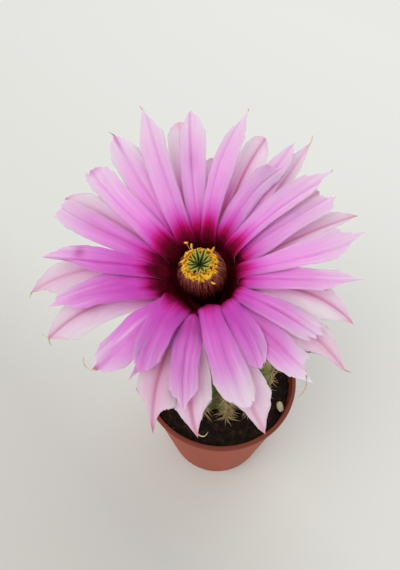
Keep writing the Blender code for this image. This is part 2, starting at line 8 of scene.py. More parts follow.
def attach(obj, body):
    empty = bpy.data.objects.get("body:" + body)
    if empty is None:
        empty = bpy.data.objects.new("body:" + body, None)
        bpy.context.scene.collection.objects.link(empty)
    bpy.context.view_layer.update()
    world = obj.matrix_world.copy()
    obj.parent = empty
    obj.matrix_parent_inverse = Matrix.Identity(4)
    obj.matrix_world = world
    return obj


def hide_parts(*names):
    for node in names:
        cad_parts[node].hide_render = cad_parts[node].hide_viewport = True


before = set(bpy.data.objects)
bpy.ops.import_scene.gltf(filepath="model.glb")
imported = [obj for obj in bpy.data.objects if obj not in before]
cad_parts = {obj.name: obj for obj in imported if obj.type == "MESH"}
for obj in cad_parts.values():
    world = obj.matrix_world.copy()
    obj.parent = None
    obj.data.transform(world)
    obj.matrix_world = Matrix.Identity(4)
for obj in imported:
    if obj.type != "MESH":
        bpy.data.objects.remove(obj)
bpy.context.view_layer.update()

mm = 0.001


# Small helpers

def smooth(x):
    x = min(max(x, 0.0), 1.0)
    return x * x * (3 - 2 * x)


def mixed(a, b, share):
    return a + (b - a) * share


def along(values, share):
    # reads a list of evenly spaced values anywhere between its ends
    place = min(max(share, 0.0), 1.0) * (len(values) - 1)
    k = min(int(place), len(values) - 2)
    return mixed(values[k], values[k + 1], smooth(place - k))


def colour(hexText):
    # sRGB hex to the linear colour a socket takes
    parts = [int(hexText[k:k + 2], 16) / 255 for k in (1, 3, 5)]
    return tuple(c / 12.92 if c <= 0.04045 else ((c + 0.055) / 1.055) ** 2.4 for c in parts) + (1.0,)


def addNode(tree, kind, inputs=None, stops=None, curve=None, **settings):
    # one node with its settings, its ramp or curve, and its values or links
    node = tree.nodes.new(kind)
    for name, value in settings.items():
        setattr(node, name, value)
    if stops:
        ramp = node.color_ramp
        while len(ramp.elements) < len(stops):
            ramp.elements.new(1.0)
        for element, (place, shade) in zip(ramp.elements, stops):
            element.position = place
            element.color = colour(shade)
    if curve:
        points = node.mapping.curves[0].points
        while len(points) < len(curve):
            points.new(0.5, 0.5)
        for point, place in zip(points, curve):
            point.location = place
        node.mapping.update()
    for key, value in (inputs or {}).items():
        if isinstance(value, bpy.types.Node):
            value = value.outputs[0]
        if isinstance(value, bpy.types.NodeSocket):
            tree.links.new(value, node.inputs[key])
        else:
            node.inputs[key].default_value = value
    return node


def newMaterial(name, **sockets):
    # a shader with the values that are the same all over the surface
    made = bpy.data.materials.new(name)
    made.use_nodes = True
    shader = made.node_tree.nodes["Principled BSDF"]
    for key, value in sockets.items():
        shader.inputs[key.replace("_", " ")].default_value = value
    return made, made.node_tree, shader


def feed(tree, shader, **sources):
    # links patterns to the shader's sockets
    for key, source in sources.items():
        source = source.outputs[0] if isinstance(source, bpy.types.Node) else source
        tree.links.new(source, shader.inputs[key.replace("_", " ")])


def addObject(name, data):
    made = bpy.data.objects.new(name, data)
    bpy.context.scene.collection.objects.link(made)
    return made


def newPiece(name, points, faces, material, creaseAngle=40, attributes=None, uv=None, place=None):
    # points in millimetres become a mesh in metres, smooth but for its sharp edges
    mesh = bpy.data.meshes.new(name)
    mesh.from_pydata([Vector(p) * mm for p in points], [], faces)
    if material:
        mesh.materials.append(material)
    for label, values in (attributes or {}).items():
        kind = "FLOAT" if isinstance(values[0], (int, float)) else "FLOAT_VECTOR"
        layer = mesh.attributes.new(label, kind, "POINT")
        if kind == "FLOAT":
            layer.data.foreach_set("value", values)
        else:
            layer.data.foreach_set("vector", [c for v in values for c in v])
    if uv:
        layer = mesh.uv_layers.new(name="petalUv")
        for loop in mesh.loops:
            layer.data[loop.index].uv = uv[loop.vertex_index]
    if place:
        mesh.transform(place)
    if faces:
        mesh.shade_smooth()
        mesh.set_sharp_from_angle(angle=math.radians(creaseAngle))
    return addObject(name, mesh)


def ringFaces(rings, sides, closed=False):
    # faces between rings of points, the open ends closed by one flat face each
    faces = []
    pairs = [(k, k + 1) for k in range(rings - 1)] + ([(rings - 1, 0)] if closed else [])
    for low, high in pairs:
        for i in range(sides):
            j = (i + 1) % sides
            faces.append((low * sides + i, low * sides + j, high * sides + j, high * sides + i))
    if not closed:
        faces.append(tuple(reversed(range(sides))))
        faces.append(tuple(range((rings - 1) * sides, rings * sides)))
    return faces


def bladeFaces(rows, columns, under):
    # a thin closed blade between two like grids of points
    faces = []
    for row in range(rows - 1):
        for column in range(columns - 1):
            a = row * columns + column
            face = (a, a + columns, a + columns + 1, a + 1)
            faces.append(tuple(reversed(face)))
            faces.append(tuple(under + i for i in face))
    border = list(range(columns)) + [row * columns + columns - 1 for row in range(1, rows)]
    border += [(rows - 1) * columns + column for column in range(columns - 2, -1, -1)]
    border += [row * columns for row in range(rows - 2, 0, -1)]
    for a, b in zip(border, border[1:] + border[:1]):
        faces.append((b, a, under + a, under + b))
    return faces


def circlePoints(radius, height, sides, centre=(0, 0)):
    turn = 2 * math.pi / sides
    x, y = centre
    return [(x + radius * math.cos(turn * i), y + radius * math.sin(turn * i), height) for i in range(sides)]


def bentTube(foot, bowed, tip, guide, radii, sides, steps):
    # rings of points along a bent line from foot to tip, drawn towards a point beside it
    points = []
    for k in range(steps):
        share = k / (steps - 1)
        centre = (1 - share) ** 2 * foot + 2 * share * (1 - share) * bowed + share ** 2 * tip
        heading = ((1 - share) * (bowed - foot) + share * (tip - bowed)).normalized()
        aside = heading.cross(guide).normalized()
        other = heading.cross(aside)
        points += [centre + x * aside + y * other for x, y, _ in circlePoints(mixed(*radii, share), 0, sides)]
    return points


def newTree(name, sockets):
    # a geometry tree with its named inputs
    tree = bpy.data.node_groups.new(name, "GeometryNodeTree")
    tree.interface.new_socket("Geometry", in_out="INPUT", socket_type="NodeSocketGeometry")
    tree.interface.new_socket("Geometry", in_out="OUTPUT", socket_type="NodeSocketGeometry")
    for label, kind in sockets:
        tree.interface.new_socket(label, in_out="INPUT", socket_type="NodeSocket" + kind)
    return tree, tree.nodes.new("NodeGroupInput").outputs, tree.nodes.new("NodeGroupOutput").inputs


def closeTree(tree, instances, given, result):
    # real geometry in its material, as the last step
    whole = addNode(tree, "GeometryNodeRealizeInstances", {"Geometry": instances})
    dressed = addNode(tree, "GeometryNodeSetMaterial", {"Geometry": whole, "Material": given["Material"]})
    tree.links.new(dressed.outputs[0], result["Geometry"])
    return tree


def grow(source, tree, values, name=None, place=None):
    # runs a tree on an object and keeps what it makes as a plain mesh
    modifier = source.modifiers.new(tree.name, "NODES")
    modifier.node_group = tree
    for item in tree.interface.items_tree:
        if item.item_type == "SOCKET" and item.in_out == "INPUT" and item.name in values:
            modifier[item.identifier] = values[item.name]
    source.update_tag()
    graph = bpy.context.evaluated_depsgraph_get()
    mesh = bpy.data.meshes.new_from_object(source.evaluated_get(graph), depsgraph=graph)
    source.modifiers.remove(modifier)
    if place:
        mesh.transform(place)
    mesh.name = name or source.name
    return addObject(mesh.name, mesh)


def discard(*objects):
    for spare in objects:
        bpy.data.objects.remove(spare, do_unlink=True)


def joinPieces(main, *others):
    # adds the other meshes to the main one, with their materials
    with bpy.context.temp_override(active_object=main, selected_editable_objects=[main, *others]):
        bpy.ops.object.join()
    return main


def settle(piece, node):
    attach(piece, "root")
    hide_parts(node)
    print("made", piece.name, len(piece.data.polygons), "faces")


# Camera, floor and light

lookFrom = {
    "place": (-7.1, -81.3, 206.2),
    "tilt": 37.9,           # from straight down
    "focalPixels": 480,     # for a picture 570 high
    "pictureHeight": 570,
    "sensor": 36,
}

cameraData = bpy.data.cameras.new("photoCamera")
cameraData.sensor_width = lookFrom["sensor"]
cameraData.lens = lookFrom["focalPixels"] / lookFrom["pictureHeight"] * lookFrom["sensor"]
cameraData.clip_start = 0.005
cameraData.clip_end = 20
camera = addObject("photoCamera", cameraData)
camera.location = Vector(lookFrom["place"]) * mm
camera.rotation_euler = (math.radians(lookFrom["tilt"]), 0, 0)
bpy.context.scene.camera = camera
bpy.context.scene.view_settings.view_transform = "Standard"

studio = {
    "ambient": ("#f5f6f4", 0.86),
    # name, place and aim in metres, size in metres, watts, colour
    "lights": [
        ("windowLight", (-0.6, -0.5, 1.2), (0, 0, 0.05), 1.0, 6.5, "#fffdf8"),
        ("roomFill", (0.5, 0.9, 1.4), (0, 0, 0.05), 1.4, 3.5, "#f9faff"),
    ],
    "floorRings": (0.12, 0.5, 6.0),
    "floorSides": 64,
    "floorHeight": -0.02,       # in millimetres, just below the pot's foot
    # painted shade on the paper: its tone, darker at its near left (0) and lighter to its far right (1), in metres
    # along the two together
    "paintedShadeRun": (-0.15, 0.5),
    "paperToneAndPaintedShade": [(0.0, "#c6c4c0"), (0.13, "#c7c5c2"), (0.245, "#d8d8d4"), (0.55, "#dfdfdc"),
                   (1.0, "#e5e5e2")],
}

world = bpy.data.worlds.new("softRoom")
world.use_nodes = True
bpy.context.scene.world = world
sky = world.node_tree.nodes["Background"]
sky.inputs["Color"].default_value = colour(studio["ambient"][0])
sky.inputs["Strength"].default_value = studio["ambient"][1]

for name, place, aim, size, watts, tone in studio["lights"]:
    lamp = bpy.data.lights.new(name, "AREA")
    lamp.shape = "DISK"
    lamp.size = size
    lamp.energy = watts
    lamp.color = colour(tone)[:3]
    lampObject = addObject(name, lamp)
    lampObject.location = place
    lampObject.rotation_euler = (Vector(aim) - Vector(place)).to_track_quat("-Z", "Y").to_euler()

# Matt paper: pale, with painted shade that greys it towards the near left, and the faintest mottling
paper, tree, shader = newMaterial("mattPaper", Roughness=0.85, Specular_IOR_Level=0.2)
place = addNode(tree, "ShaderNodeTexCoord").outputs["Object"]
mottle = addNode(tree, "ShaderNodeTexNoise", {"Vector": place, "Scale": 9.0, "Detail": 3.0})
across = addNode(tree, "ShaderNodeVectorMath", {0: place, 1: (1.0, 1.0, 0.0)}, operation="DOT_PRODUCT")
run = addNode(tree, "ShaderNodeMapRange", {
    "Value": across.outputs["Value"], "From Min": studio["paintedShadeRun"][0], "From Max": studio["paintedShadeRun"][1]})
run = addNode(tree, "ShaderNodeMath", {0: mottle.outputs["Fac"], 1: 0.02, 2: run.outputs[0]},
              operation="MULTIPLY_ADD")
# painted shade: the tone ramp darkens the paper towards its near left
tones = addNode(tree, "ShaderNodeValToRGB", {"Fac": run}, stops=studio["paperToneAndPaintedShade"])
feed(tree, shader, Base_Color=tones)
rings = [circlePoints(r / mm, studio["floorHeight"], studio["floorSides"]) for r in studio["floorRings"]]
floor = newPiece("paperFloor", [p for ring in rings for p in ring],
                 ringFaces(len(rings), studio["floorSides"])[:-1], paper)
# every face of the paper looks up
bm = bmesh.new()
bm.from_mesh(floor.data)
bmesh.ops.recalc_face_normals(bm, faces=bm.faces)
for face in bm.faces:
    if face.normal.z < 0:
        face.normal_flip()
bm.to_mesh(floor.data)
bm.free()
print("camera, floor and light set")


# Pot: thin moulded polypropylene, smooth and satin, a little soil dust inside

potSizes = {
    "rimRadius": 27.5,
    "height": 49.0,
    "footRadius": 19.5,
    "wall": 1.0,
    "lipWidth": 0.4,
    "lipDepth": 1.6,
    "sides": 144,
    "drains": 6,
    "drainRadius": 1.8,
    "drainRing": 11.0,
    "drainSides": 24,
    "lipPaintedShade": (47.5, 48.5),       # height over which painted shade darkens the lip
    "dustLine": (48.5, 45.5),       # the inside is clean above, dusty below
}


def potRadius(height):
    spread = potSizes["rimRadius"] - potSizes["lipWidth"] - potSizes["footRadius"]
    return potSizes["footRadius"] + spread * height / potSizes["height"]


def makePot():
    # moulded polypropylene: even terracotta colour, satin, with the faint flow marks of moulding
    made, tree, shader = newMaterial("mouldedPolypropylene", IOR=1.49, Specular_IOR_Level=0.2,
                                     Subsurface_Weight=0.12, Subsurface_Scale=0.0012)
    shader.inputs["Subsurface Radius"].default_value = (1.0, 0.35, 0.2)
    place = addNode(tree, "ShaderNodeTexCoord").outputs["Object"]
    flow = addNode(tree, "ShaderNodeMapping", {"Vector": place, "Scale": (90, 90, 14)})
    marks = addNode(tree, "ShaderNodeTexNoise", {"Vector": flow, "Scale": 1.0, "Detail": 4.0})
    tones = addNode(tree, "ShaderNodeValToRGB", {"Fac": marks.outputs["Fac"]},
                    stops=[(0.25, "#9c4630"), (0.55, "#a64c35"), (0.8, "#ad533b")])
    split = addNode(tree, "ShaderNodeSeparateXYZ", {"Vector": place})
    inner = addNode(tree, "ShaderNodeAttribute", attribute_name="inside")
    grime = addNode(tree, "ShaderNodeTexNoise", {"Vector": place, "Scale": 700.0, "Detail": 5.0})
    dust = addNode(tree, "ShaderNodeMapRange", {
        "Value": grime.outputs["Fac"], "From Min": 0.42, "From Max": 0.62, "To Max": 0.75})
    low = addNode(tree, "ShaderNodeMapRange", {
        "Value": split.outputs["Z"], "From Min": potSizes["dustLine"][0] * mm,
        "From Max": potSizes["dustLine"][1] * mm})
    amount = addNode(tree, "ShaderNodeMath", {0: dust.outputs[0], 1: low.outputs[0]}, operation="MULTIPLY")
    amount = addNode(tree, "ShaderNodeMath", {0: amount, 1: inner.outputs["Fac"]}, operation="MULTIPLY")
    dustAndLipShade = addNode(tree, "ShaderNodeMix", {0: amount, 6: tones, 7: colour("#2c1a12")}, data_type="RGBA")
    # painted shade: the lip's top is darkened so that it does not look lit from above
    paintedLipShade = addNode(tree, "ShaderNodeMapRange", {
        "Value": split.outputs["Z"], "From Min": potSizes["lipPaintedShade"][0] * mm,
        "From Max": potSizes["lipPaintedShade"][1] * mm, "To Max": 0.8})
    dustAndLipShade = addNode(tree, "ShaderNodeMix", {0: paintedLipShade.outputs[0], 6: dustAndLipShade.outputs[2], 7: colour("#6b3122")},
                    data_type="RGBA")
    gloss = addNode(tree, "ShaderNodeMapRange", {"Value": marks.outputs["Fac"], "To Min": 0.5, "To Max": 0.62})
    grain = addNode(tree, "ShaderNodeTexNoise", {"Vector": place, "Scale": 2600.0, "Detail": 2.0})
    bump = addNode(tree, "ShaderNodeBump", {"Height": grain.outputs["Fac"], "Strength": 0.12, "Distance": 0.00006})
    feed(tree, shader, Base_Color=dustAndLipShade.outputs[2], Roughness=gloss, Normal=bump)

    s = potSizes
    lipLow = s["height"] - s["lipDepth"]
    inRadius = lambda h: potRadius(h) - s["wall"]
    outline = [(2.0, 0.0), (10.0, 0.0), (s["footRadius"] - 0.5, 0.0), (s["footRadius"] - 0.2, 0.06),
               (s["footRadius"] + 0.02, 0.3)]
    outline += [(potRadius(h), h) for h in (0.8, 4, 10, 17, 24, 31, 38, 44, lipLow - 0.35)]
    outline += [(s["rimRadius"] - 0.3, lipLow - 0.1), (s["rimRadius"] - 0.06, lipLow + 0.15),
                (s["rimRadius"], lipLow + 0.45), (s["rimRadius"], s["height"] - 0.4),
                (s["rimRadius"] - 0.1, s["height"] - 0.15), (s["rimRadius"] - 0.35, s["height"]),
                (inRadius(s["height"]) + 0.2, s["height"]), (inRadius(s["height"]), s["height"] - 0.2)]
    lastOutside = len(outline) - 1
    outline += [(inRadius(h), h) for h in (47, 45, 40, 30, 20, 10, 2.0)]
    outline += [(inRadius(1.0) - 1.0, 1.0), (8.0, 1.0), (2.0, 1.0)]
    points = [p for r, h in outline for p in circlePoints(r, h, s["sides"])]
    inside = [1.0 if k // s["sides"] > lastOutside else 0.0 for k in range(len(points))]
    creaseAngle = 35
    pot = newPiece("plasticPot", points, ringFaces(len(outline), s["sides"]), made, creaseAngle, {"inside": inside})
    cutters = []
    for k in range(s["drains"]):
        angle = 2 * math.pi * (k + 0.5) / s["drains"]
        centre = (s["drainRing"] * math.cos(angle), s["drainRing"] * math.sin(angle))
        rings = [p for h in (-1, 2) for p in circlePoints(s["drainRadius"], h, s["drainSides"], centre)]
        cutters.append(newPiece("drainCutter", rings, ringFaces(2, s["drainSides"]), made))
        hole = pot.modifiers.new("drain", "BOOLEAN")
        hole.object = cutters[-1]
        hole.solver = "EXACT"
    graph = bpy.context.evaluated_depsgraph_get()
    mesh = bpy.data.meshes.new_from_object(pot.evaluated_get(graph), depsgraph=graph)
    pot.modifiers.clear()
    pot.data = mesh
    mesh.set_sharp_from_angle(angle=math.radians(creaseAngle))
    discard(*cutters)
    settle(pot, "pot")


makePot()


# Soil and the pale stone on it

soilSizes = {
    "level": 45.0,
    "roughness": 0.6,
    "dimple": 0.5,
    "stemCentre": (2.0, 0.0),
    "rootRadius": 11.0,
    "rootDepth": 14.0,
    "gap": 0.3,
    "sides": 120,
    "crumbs": 1500,
    "crumbSize": (0.35, 1.15),
    "fibres": 130,
    "fibreSize": (0.5, 1.1),
    "sink": 0.1,
    "surfaceRings": 26,
}
stoneSizes = {
    "bearing": 332,
    "distance": 23.9,
    "pointing": 95,
    "half": (2.1, 1.25, 1.0),     # half length, half width, half height
}


def soilHeight(x, y):
    s = soilSizes
    waves = (math.sin(x * 0.9 + 1.3) * math.cos(y * 0.8 - 0.4) + 0.6 * math.sin(x * 1.9 - y * 1.3)
             + 0.4 * math.cos(x * 0.7 + y * 2.3))
    away = math.hypot(x - s["stemCentre"][0], y - s["stemCentre"][1]) - s["rootRadius"]
    openGround = smooth(away / 5)
    return s["level"] + 0.5 * s["roughness"] * waves * openGround - s["dimple"] * (1 - openGround)


def makeCrumb(name, seed, stretch, material):
    # one grain: a twice-cut octahedron pushed about, a few dozen faces
    bm = bmesh.new()
    corners = [bm.verts.new(p) for p in ((1, 0, 0), (0, 1, 0), (-1, 0, 0), (0, -1, 0), (0, 0, 1), (0, 0, -1))]
    for a in range(4):
        b = (a + 1) % 4
        bm.faces.new((corners[a], corners[b], corners[4]))
        bm.faces.new((corners[b], corners[a], corners[5]))
    bmesh.ops.subdivide_edges(bm, edges=bm.edges, cuts=1, use_grid_fill=True)
    bmesh.ops.triangulate(bm, faces=bm.faces)
    for vert in bm.verts:
        vert.co = vert.co.normalized() * (0.72 + 0.55 * noise.noise(vert.co * 1.4 + Vector((seed * 7, 0, seed))))
        vert.co = Vector((vert.co.x * stretch[0], vert.co.y * stretch[1], vert.co.z * stretch[2])) * 0.5 * mm
    mesh = bpy.data.meshes.new(name)
    bm.to_mesh(mesh)
    bm.free()
    mesh.materials.append(material)
    return addObject(name, mesh)


def scatterTree():
    # grains of several shapes lying at random on the faces marked as ground
    tree, given, result = newTree("soilScatter", [
        ("Density", "Float"), ("Smallest", "Float"), ("Largest", "Float"), ("Sink", "Float"),
        ("Grain A", "Object"), ("Grain B", "Object"), ("Grain C", "Object"), ("Material", "Material"),
        ("Seed", "Int")])
    ground = addNode(tree, "GeometryNodeInputNamedAttribute", {"Name": "ground"}, data_type="FLOAT")
    isGround = addNode(tree, "FunctionNodeCompare", {0: ground, 1: 0.5}, data_type="FLOAT", operation="GREATER_THAN")
    spots = addNode(tree, "GeometryNodeDistributePointsOnFaces", {
        "Mesh": given["Geometry"], "Selection": isGround, "Density": given["Density"], "Seed": given["Seed"]})
    grains = [addNode(tree, "GeometryNodeObjectInfo", {"Object": given[name], "As Instance": True})
              .outputs["Geometry"] for name in ("Grain C", "Grain B", "Grain A")]
    kinds = tree.nodes.new("GeometryNodeGeometryToInstance")
    for grain in grains:
        tree.links.new(grain, kinds.inputs[0])
    turn = addNode(tree, "FunctionNodeRandomValue", {0: (0, 0, 0), 1: (6.28, 6.28, 6.28), "Seed": given["Seed"]},
                   data_type="FLOAT_VECTOR")
    spread = addNode(tree, "FunctionNodeRandomValue", {2: 0.0, 3: 1.0, "Seed": 11}, data_type="FLOAT")
    spread = addNode(tree, "ShaderNodeMath", {0: spread.outputs[1], 1: 2.2}, operation="POWER")
    # the power above makes small grains many and large ones few
    size = addNode(tree, "ShaderNodeMapRange", {
        "Value": spread, "To Min": given["Smallest"], "To Max": given["Largest"]})
    placed = addNode(tree, "GeometryNodeInstanceOnPoints", {
        "Points": spots, "Instance": kinds, "Pick Instance": True, "Rotation": turn, "Scale": size})
    down = addNode(tree, "ShaderNodeCombineXYZ", {"Z": given["Sink"]})
    lower = addNode(tree, "GeometryNodeTranslateInstances", {
        "Instances": placed, "Translation": down, "Local Space": False})
    return closeTree(tree, lower, given, result)


def dropThroughWall(mesh):
    # takes away each grain that would lie through the pot's wall
    bm = bmesh.new()
    bm.from_mesh(mesh)
    clearance = 0.05
    outside = [v for v in bm.verts
               if v.co.xy.length > (potRadius(v.co.z / mm) - potSizes["wall"] - clearance) * mm]
    gone = set()
    for vert in outside:
        if vert in gone:
            continue
        grain, edge = {vert}, [vert]
        while edge:
            for link in edge.pop().link_edges:
                for other in link.verts:
                    if other not in grain:
                        grain.add(other)
                        edge.append(other)
        gone |= grain
    bmesh.ops.delete(bm, geom=list(gone), context="VERTS")
    bm.to_mesh(mesh)
    bm.free()


def makeSoil():
    # peat-based potting soil: almost black and matt, with brown crumbs and paler fibre
    made, tree, shader = newMaterial("pottingPeat", Specular_IOR_Level=0.25, Roughness=0.95)
    place = addNode(tree, "ShaderNodeTexCoord").outputs["Object"]
    coarse = addNode(tree, "ShaderNodeTexNoise", {"Vector": place, "Scale": 420.0, "Detail": 5.0, "Roughness": 0.65})
    fine = addNode(tree, "ShaderNodeTexNoise", {"Vector": place, "Scale": 2300.0, "Detail": 4.0})
    tones = addNode(tree, "ShaderNodeValToRGB", {"Fac": coarse.outputs["Fac"]},
                    stops=[(0.3, "#0d0806"), (0.5, "#1d120c"), (0.62, "#372216"), (0.78, "#5a4028")])
    rough = addNode(tree, "ShaderNodeMath", {0: coarse.outputs["Fac"], 1: fine.outputs["Fac"]}, operation="ADD")
    bump = addNode(tree, "ShaderNodeBump", {"Height": rough, "Strength": 0.8, "Distance": 0.0004})
    feed(tree, shader, Base_Color=tones, Normal=bump)

    # bark and root fibre: dull brown, drier than the peat
    bark, tree, shader = newMaterial("barkFibre", Specular_IOR_Level=0.3, Roughness=0.85)
    place = addNode(tree, "ShaderNodeTexCoord").outputs["Object"]
    patches = addNode(tree, "ShaderNodeTexNoise", {"Vector": place, "Scale": 160.0, "Detail": 4.0})
    tones = addNode(tree, "ShaderNodeValToRGB", {"Fac": patches.outputs["Fac"]},
                    stops=[(0.35, "#2a1a10"), (0.55, "#4c3220"), (0.7, "#7a5d3c")])
    bump = addNode(tree, "ShaderNodeBump", {"Height": patches.outputs["Fac"], "Strength": 0.6, "Distance": 0.0003})
    feed(tree, shader, Base_Color=tones, Normal=bump)

    s = soilSizes
    low, sides = 1.0 + s["gap"], s["sides"]
    wallGap = potSizes["wall"] + s["gap"]
    edgeRadius = potRadius(s["level"]) - wallGap - 0.1
    holeRadius = s["rootRadius"] + s["gap"]
    rings = [circlePoints(1.5, low, sides), circlePoints(potRadius(low) - wallGap - 1, low, sides)]
    rings += [circlePoints(potRadius(h) - wallGap, h, sides) for h in (low + 0.4, 12, 24, 36, 42)]
    edge = circlePoints(edgeRadius, 0, sides)
    rings.append([(x, y, soilHeight(x, y) - 0.6) for x, y, _ in edge])
    rim = circlePoints(holeRadius, 0, sides, s["stemCentre"])
    lastSide = len(rings)
    steps, inset = s["surfaceRings"], 0.06
    for k in range(steps + 1):
        share = (inset + k) / (steps + inset)
        ring = []
        for p, q in zip(edge, rim):
            x, y = mixed(p[0], q[0], share), mixed(p[1], q[1], share)
            lumps = noise.noise(Vector((x, y, 0)) * 0.9) + 0.5 * noise.noise(Vector((x, y, 5)) * 2.3)
            ring.append((x, y, soilHeight(x, y) + 0.3 * lumps * smooth(share / 0.2)))
        rings.append(ring)
    holeFloor = s["level"] - s["rootDepth"] - s["gap"]
    rings.append(circlePoints(holeRadius, holeFloor + 6, sides, s["stemCentre"]))
    rings.append(circlePoints(holeRadius, holeFloor, sides, s["stemCentre"]))
    points = [p for ring in rings for p in ring]
    ground = [1.0 if lastSide <= k // sides <= lastSide + steps else 0.0 for k in range(len(points))]
    soil = newPiece("pottingSoil", points, ringFaces(len(rings), sides), made, 60, {"ground": ground})

    tree = scatterTree()
    grains = [makeCrumb("grainA", 1, (1.1, 0.9, 0.8), made), makeCrumb("grainB", 2, (1.3, 0.8, 0.7), made),
              makeCrumb("grainC", 3, (0.9, 1.0, 0.9), made)]
    area = math.pi * (edgeRadius ** 2 - holeRadius ** 2) * mm * mm
    crumbs = grow(soil, tree, {
        "Density": s["crumbs"] / area, "Smallest": s["crumbSize"][0], "Largest": s["crumbSize"][1],
        "Sink": s["sink"] * mm, "Grain A": grains[0], "Grain B": grains[1], "Grain C": grains[2],
        "Material": made, "Seed": 4}, "soilCrumbs")
    chips = [makeCrumb("chipA", 4, (3.4, 0.28, 0.24), bark), makeCrumb("chipB", 5, (1.9, 1.0, 0.5), bark),
             makeCrumb("chipC", 6, (4.6, 0.2, 0.2), bark)]
    fibres = grow(soil, tree, {
        "Density": s["fibres"] / area, "Smallest": s["fibreSize"][0], "Largest": s["fibreSize"][1],
        "Sink": s["sink"] * mm, "Grain A": chips[0], "Grain B": chips[1], "Grain C": chips[2],
        "Material": bark, "Seed": 9}, "soilFibres")
    dropThroughWall(crumbs.data)
    dropThroughWall(fibres.data)
    discard(*grains, *chips)
    soil = joinPieces(soil, crumbs, fibres)
    settle(soil, "soil")


def makeStone():
    # limestone grit: pale, dull, a little pitted
    made, tree, shader = newMaterial("limestoneGrit", Roughness=0.7, Specular_IOR_Level=0.35)
    place = addNode(tree, "ShaderNodeTexCoord").outputs["Object"]
    patches = addNode(tree, "ShaderNodeTexNoise", {"Vector": place, "Scale": 900.0, "Detail": 5.0})
    tones = addNode(tree, "ShaderNodeValToRGB", {"Fac": patches.outputs["Fac"]},
                    stops=[(0.3, "#a09074"), (0.5, "#c4b699"), (0.7, "#dccfb2")])
    bump = addNode(tree, "ShaderNodeBump", {"Height": patches.outputs["Fac"], "Strength": 0.5, "Distance": 0.0002})
    feed(tree, shader, Base_Color=tones, Normal=bump)

    s = stoneSizes
    bearing, pointing = math.radians(s["bearing"]), math.radians(s["pointing"])
    x, y = s["distance"] * math.cos(bearing), s["distance"] * math.sin(bearing)
    ahead = Vector((math.cos(pointing), math.sin(pointing), 0))
    across = Vector((-ahead.y, ahead.x, 0))
    steps = (-1, -0.5, 0, 0.5, 1)
    ground = max(soilHeight(x + a * s["half"][1], y + b * s["half"][0]) for a in steps for b in steps)
    centre = Vector((x, y, ground + 0.3 + s["half"][2]))
    bm = bmesh.new()
    bmesh.ops.create_icosphere(bm, subdivisions=4, radius=1.0)
    for vert in bm.verts:
        lumpy = 1 + 0.12 * noise.noise(vert.co * 1.3) + 0.05 * noise.noise(vert.co * 3.7 + Vector((4, 0, 0)))
        p = vert.co * (lumpy * 0.95)
        vert.co = (centre + p.x * s["half"][0] * ahead + p.y * s["half"][1] * across
                   + Vector((0, 0, p.z * s["half"][2] * (1.25 if p.z < 0 else 1)))) * mm
    mesh = bpy.data.meshes.new("paleStone")
    bm.to_mesh(mesh)
    bm.free()
    mesh.materials.append(made)
    mesh.shade_smooth()
    settle(addObject("paleStone", mesh), "stone")


makeSoil()
makeStone()


# Where the flower stands and how it leans

flowerPlace = {
    "throat": (-6.8, 0.0, 108.2),
    "leanLeft": 7,
    "leanFront": 12,
    "tubeLength": 29.0,
}


def flowerFrame():
    left, front = math.radians(flowerPlace["leanLeft"]), math.radians(flowerPlace["leanFront"])
    axis = Vector((-math.tan(left), -math.tan(front), 1)).normalized()
    right = (Vector((1, 0, 0)) - axis.x * axis).normalized()
    frameMatrix = Matrix((right, axis.cross(right), axis)).transposed().to_4x4()
    frameMatrix.translation = Vector(flowerPlace["throat"]) * mm
    return frameMatrix


leaned = flowerFrame()


# Stem: ribbed waxy skin, with felted areoles and their spines on the crests

stemSizes = {
    "centre": soilSizes["stemCentre"],
    "radius": 15.6,
    "height": 34.5,
    "rootRadius": soilSizes["rootRadius"],
    "rootDepth": soilSizes["rootDepth"],
    "ribs": 12,
    "ribDepth": 0.17,
    "swell": 0.045,
    "areoleRows": 5,
    "spineLength": 5.2,
    "radialLean": -66,
    "centralLean": -24,
    "radialSpines": 13,
    "centralSpines": 3,
    "tubeClearance": 11.0,      # no areole this near the foot of the flower's tube
    "sidesPerRib": 20,
    "rows": 110,
}


def stemProfile(height):
    share = height / stemSizes["height"]
    if share < 0.55:
        return stemSizes["radius"] * (0.96 + 0.04 * math.sin(math.pi * share / 1.1))
    fall = (share - 0.55) / 0.45
    return stemSizes["radius"] * math.sqrt(max(1 - fall ** 2.3, 0.0))


def stemPoint(height, angle, detail=0.0):
    s = stemSizes
    share = height / s["height"]
    crest = 0.5 + 0.5 * math.cos(s["ribs"] * angle)
    depth = s["ribDepth"] * smooth(share / 0.08) * (1 - 0.6 * smooth((share - 0.8) / 0.2))
    rows = share * (s["areoleRows"] + 0.5)
    swell = s["swell"] * crest * (0.5 - 0.5 * math.cos(2 * math.pi * rows))
    radius = stemProfile(height) * (1 - depth * (1 - crest) + swell)
    x, y = math.cos(angle), math.sin(angle)
    radius += detail * noise.noise(Vector((x * 9, y * 9, height * 0.5)))
    return Vector((s["centre"][0] + radius * x, s["centre"][1] + radius * y, soilSizes["level"] + height))


def stemNormal(height, angle):
    up = stemPoint(height + 0.6, angle) - stemPoint(height - 0.6, angle)
    across = stemPoint(height, angle + 0.04) - stemPoint(height, angle - 0.04)
    return across.cross(up).normalized()


def spineMesh(name, material, sides=5, steps=5, bend=0.12, width=0.034):
    # a spine along +Z, one metre long to be scaled, a touch bowed, thickest just above its foot
    points = []
    for k in range(steps):
        share = k / (steps - 1) * 0.97
        thick = width * (1 - share) ** 0.75 * (1 if k else 0.8) + 0.002
        for x, y, _ in circlePoints(thick, 0, sides):
            points.append((x / mm, (y + bend * share * share) / mm, share / mm))
    points.append((0, bend / mm, 1 / mm))
    faces = ringFaces(steps, sides)[:-1]
    last = (steps - 1) * sides
    faces += [(last + i, last + (i + 1) % sides, len(points) - 1) for i in range(sides)]
    return newPiece(name, points, faces, material, 180)


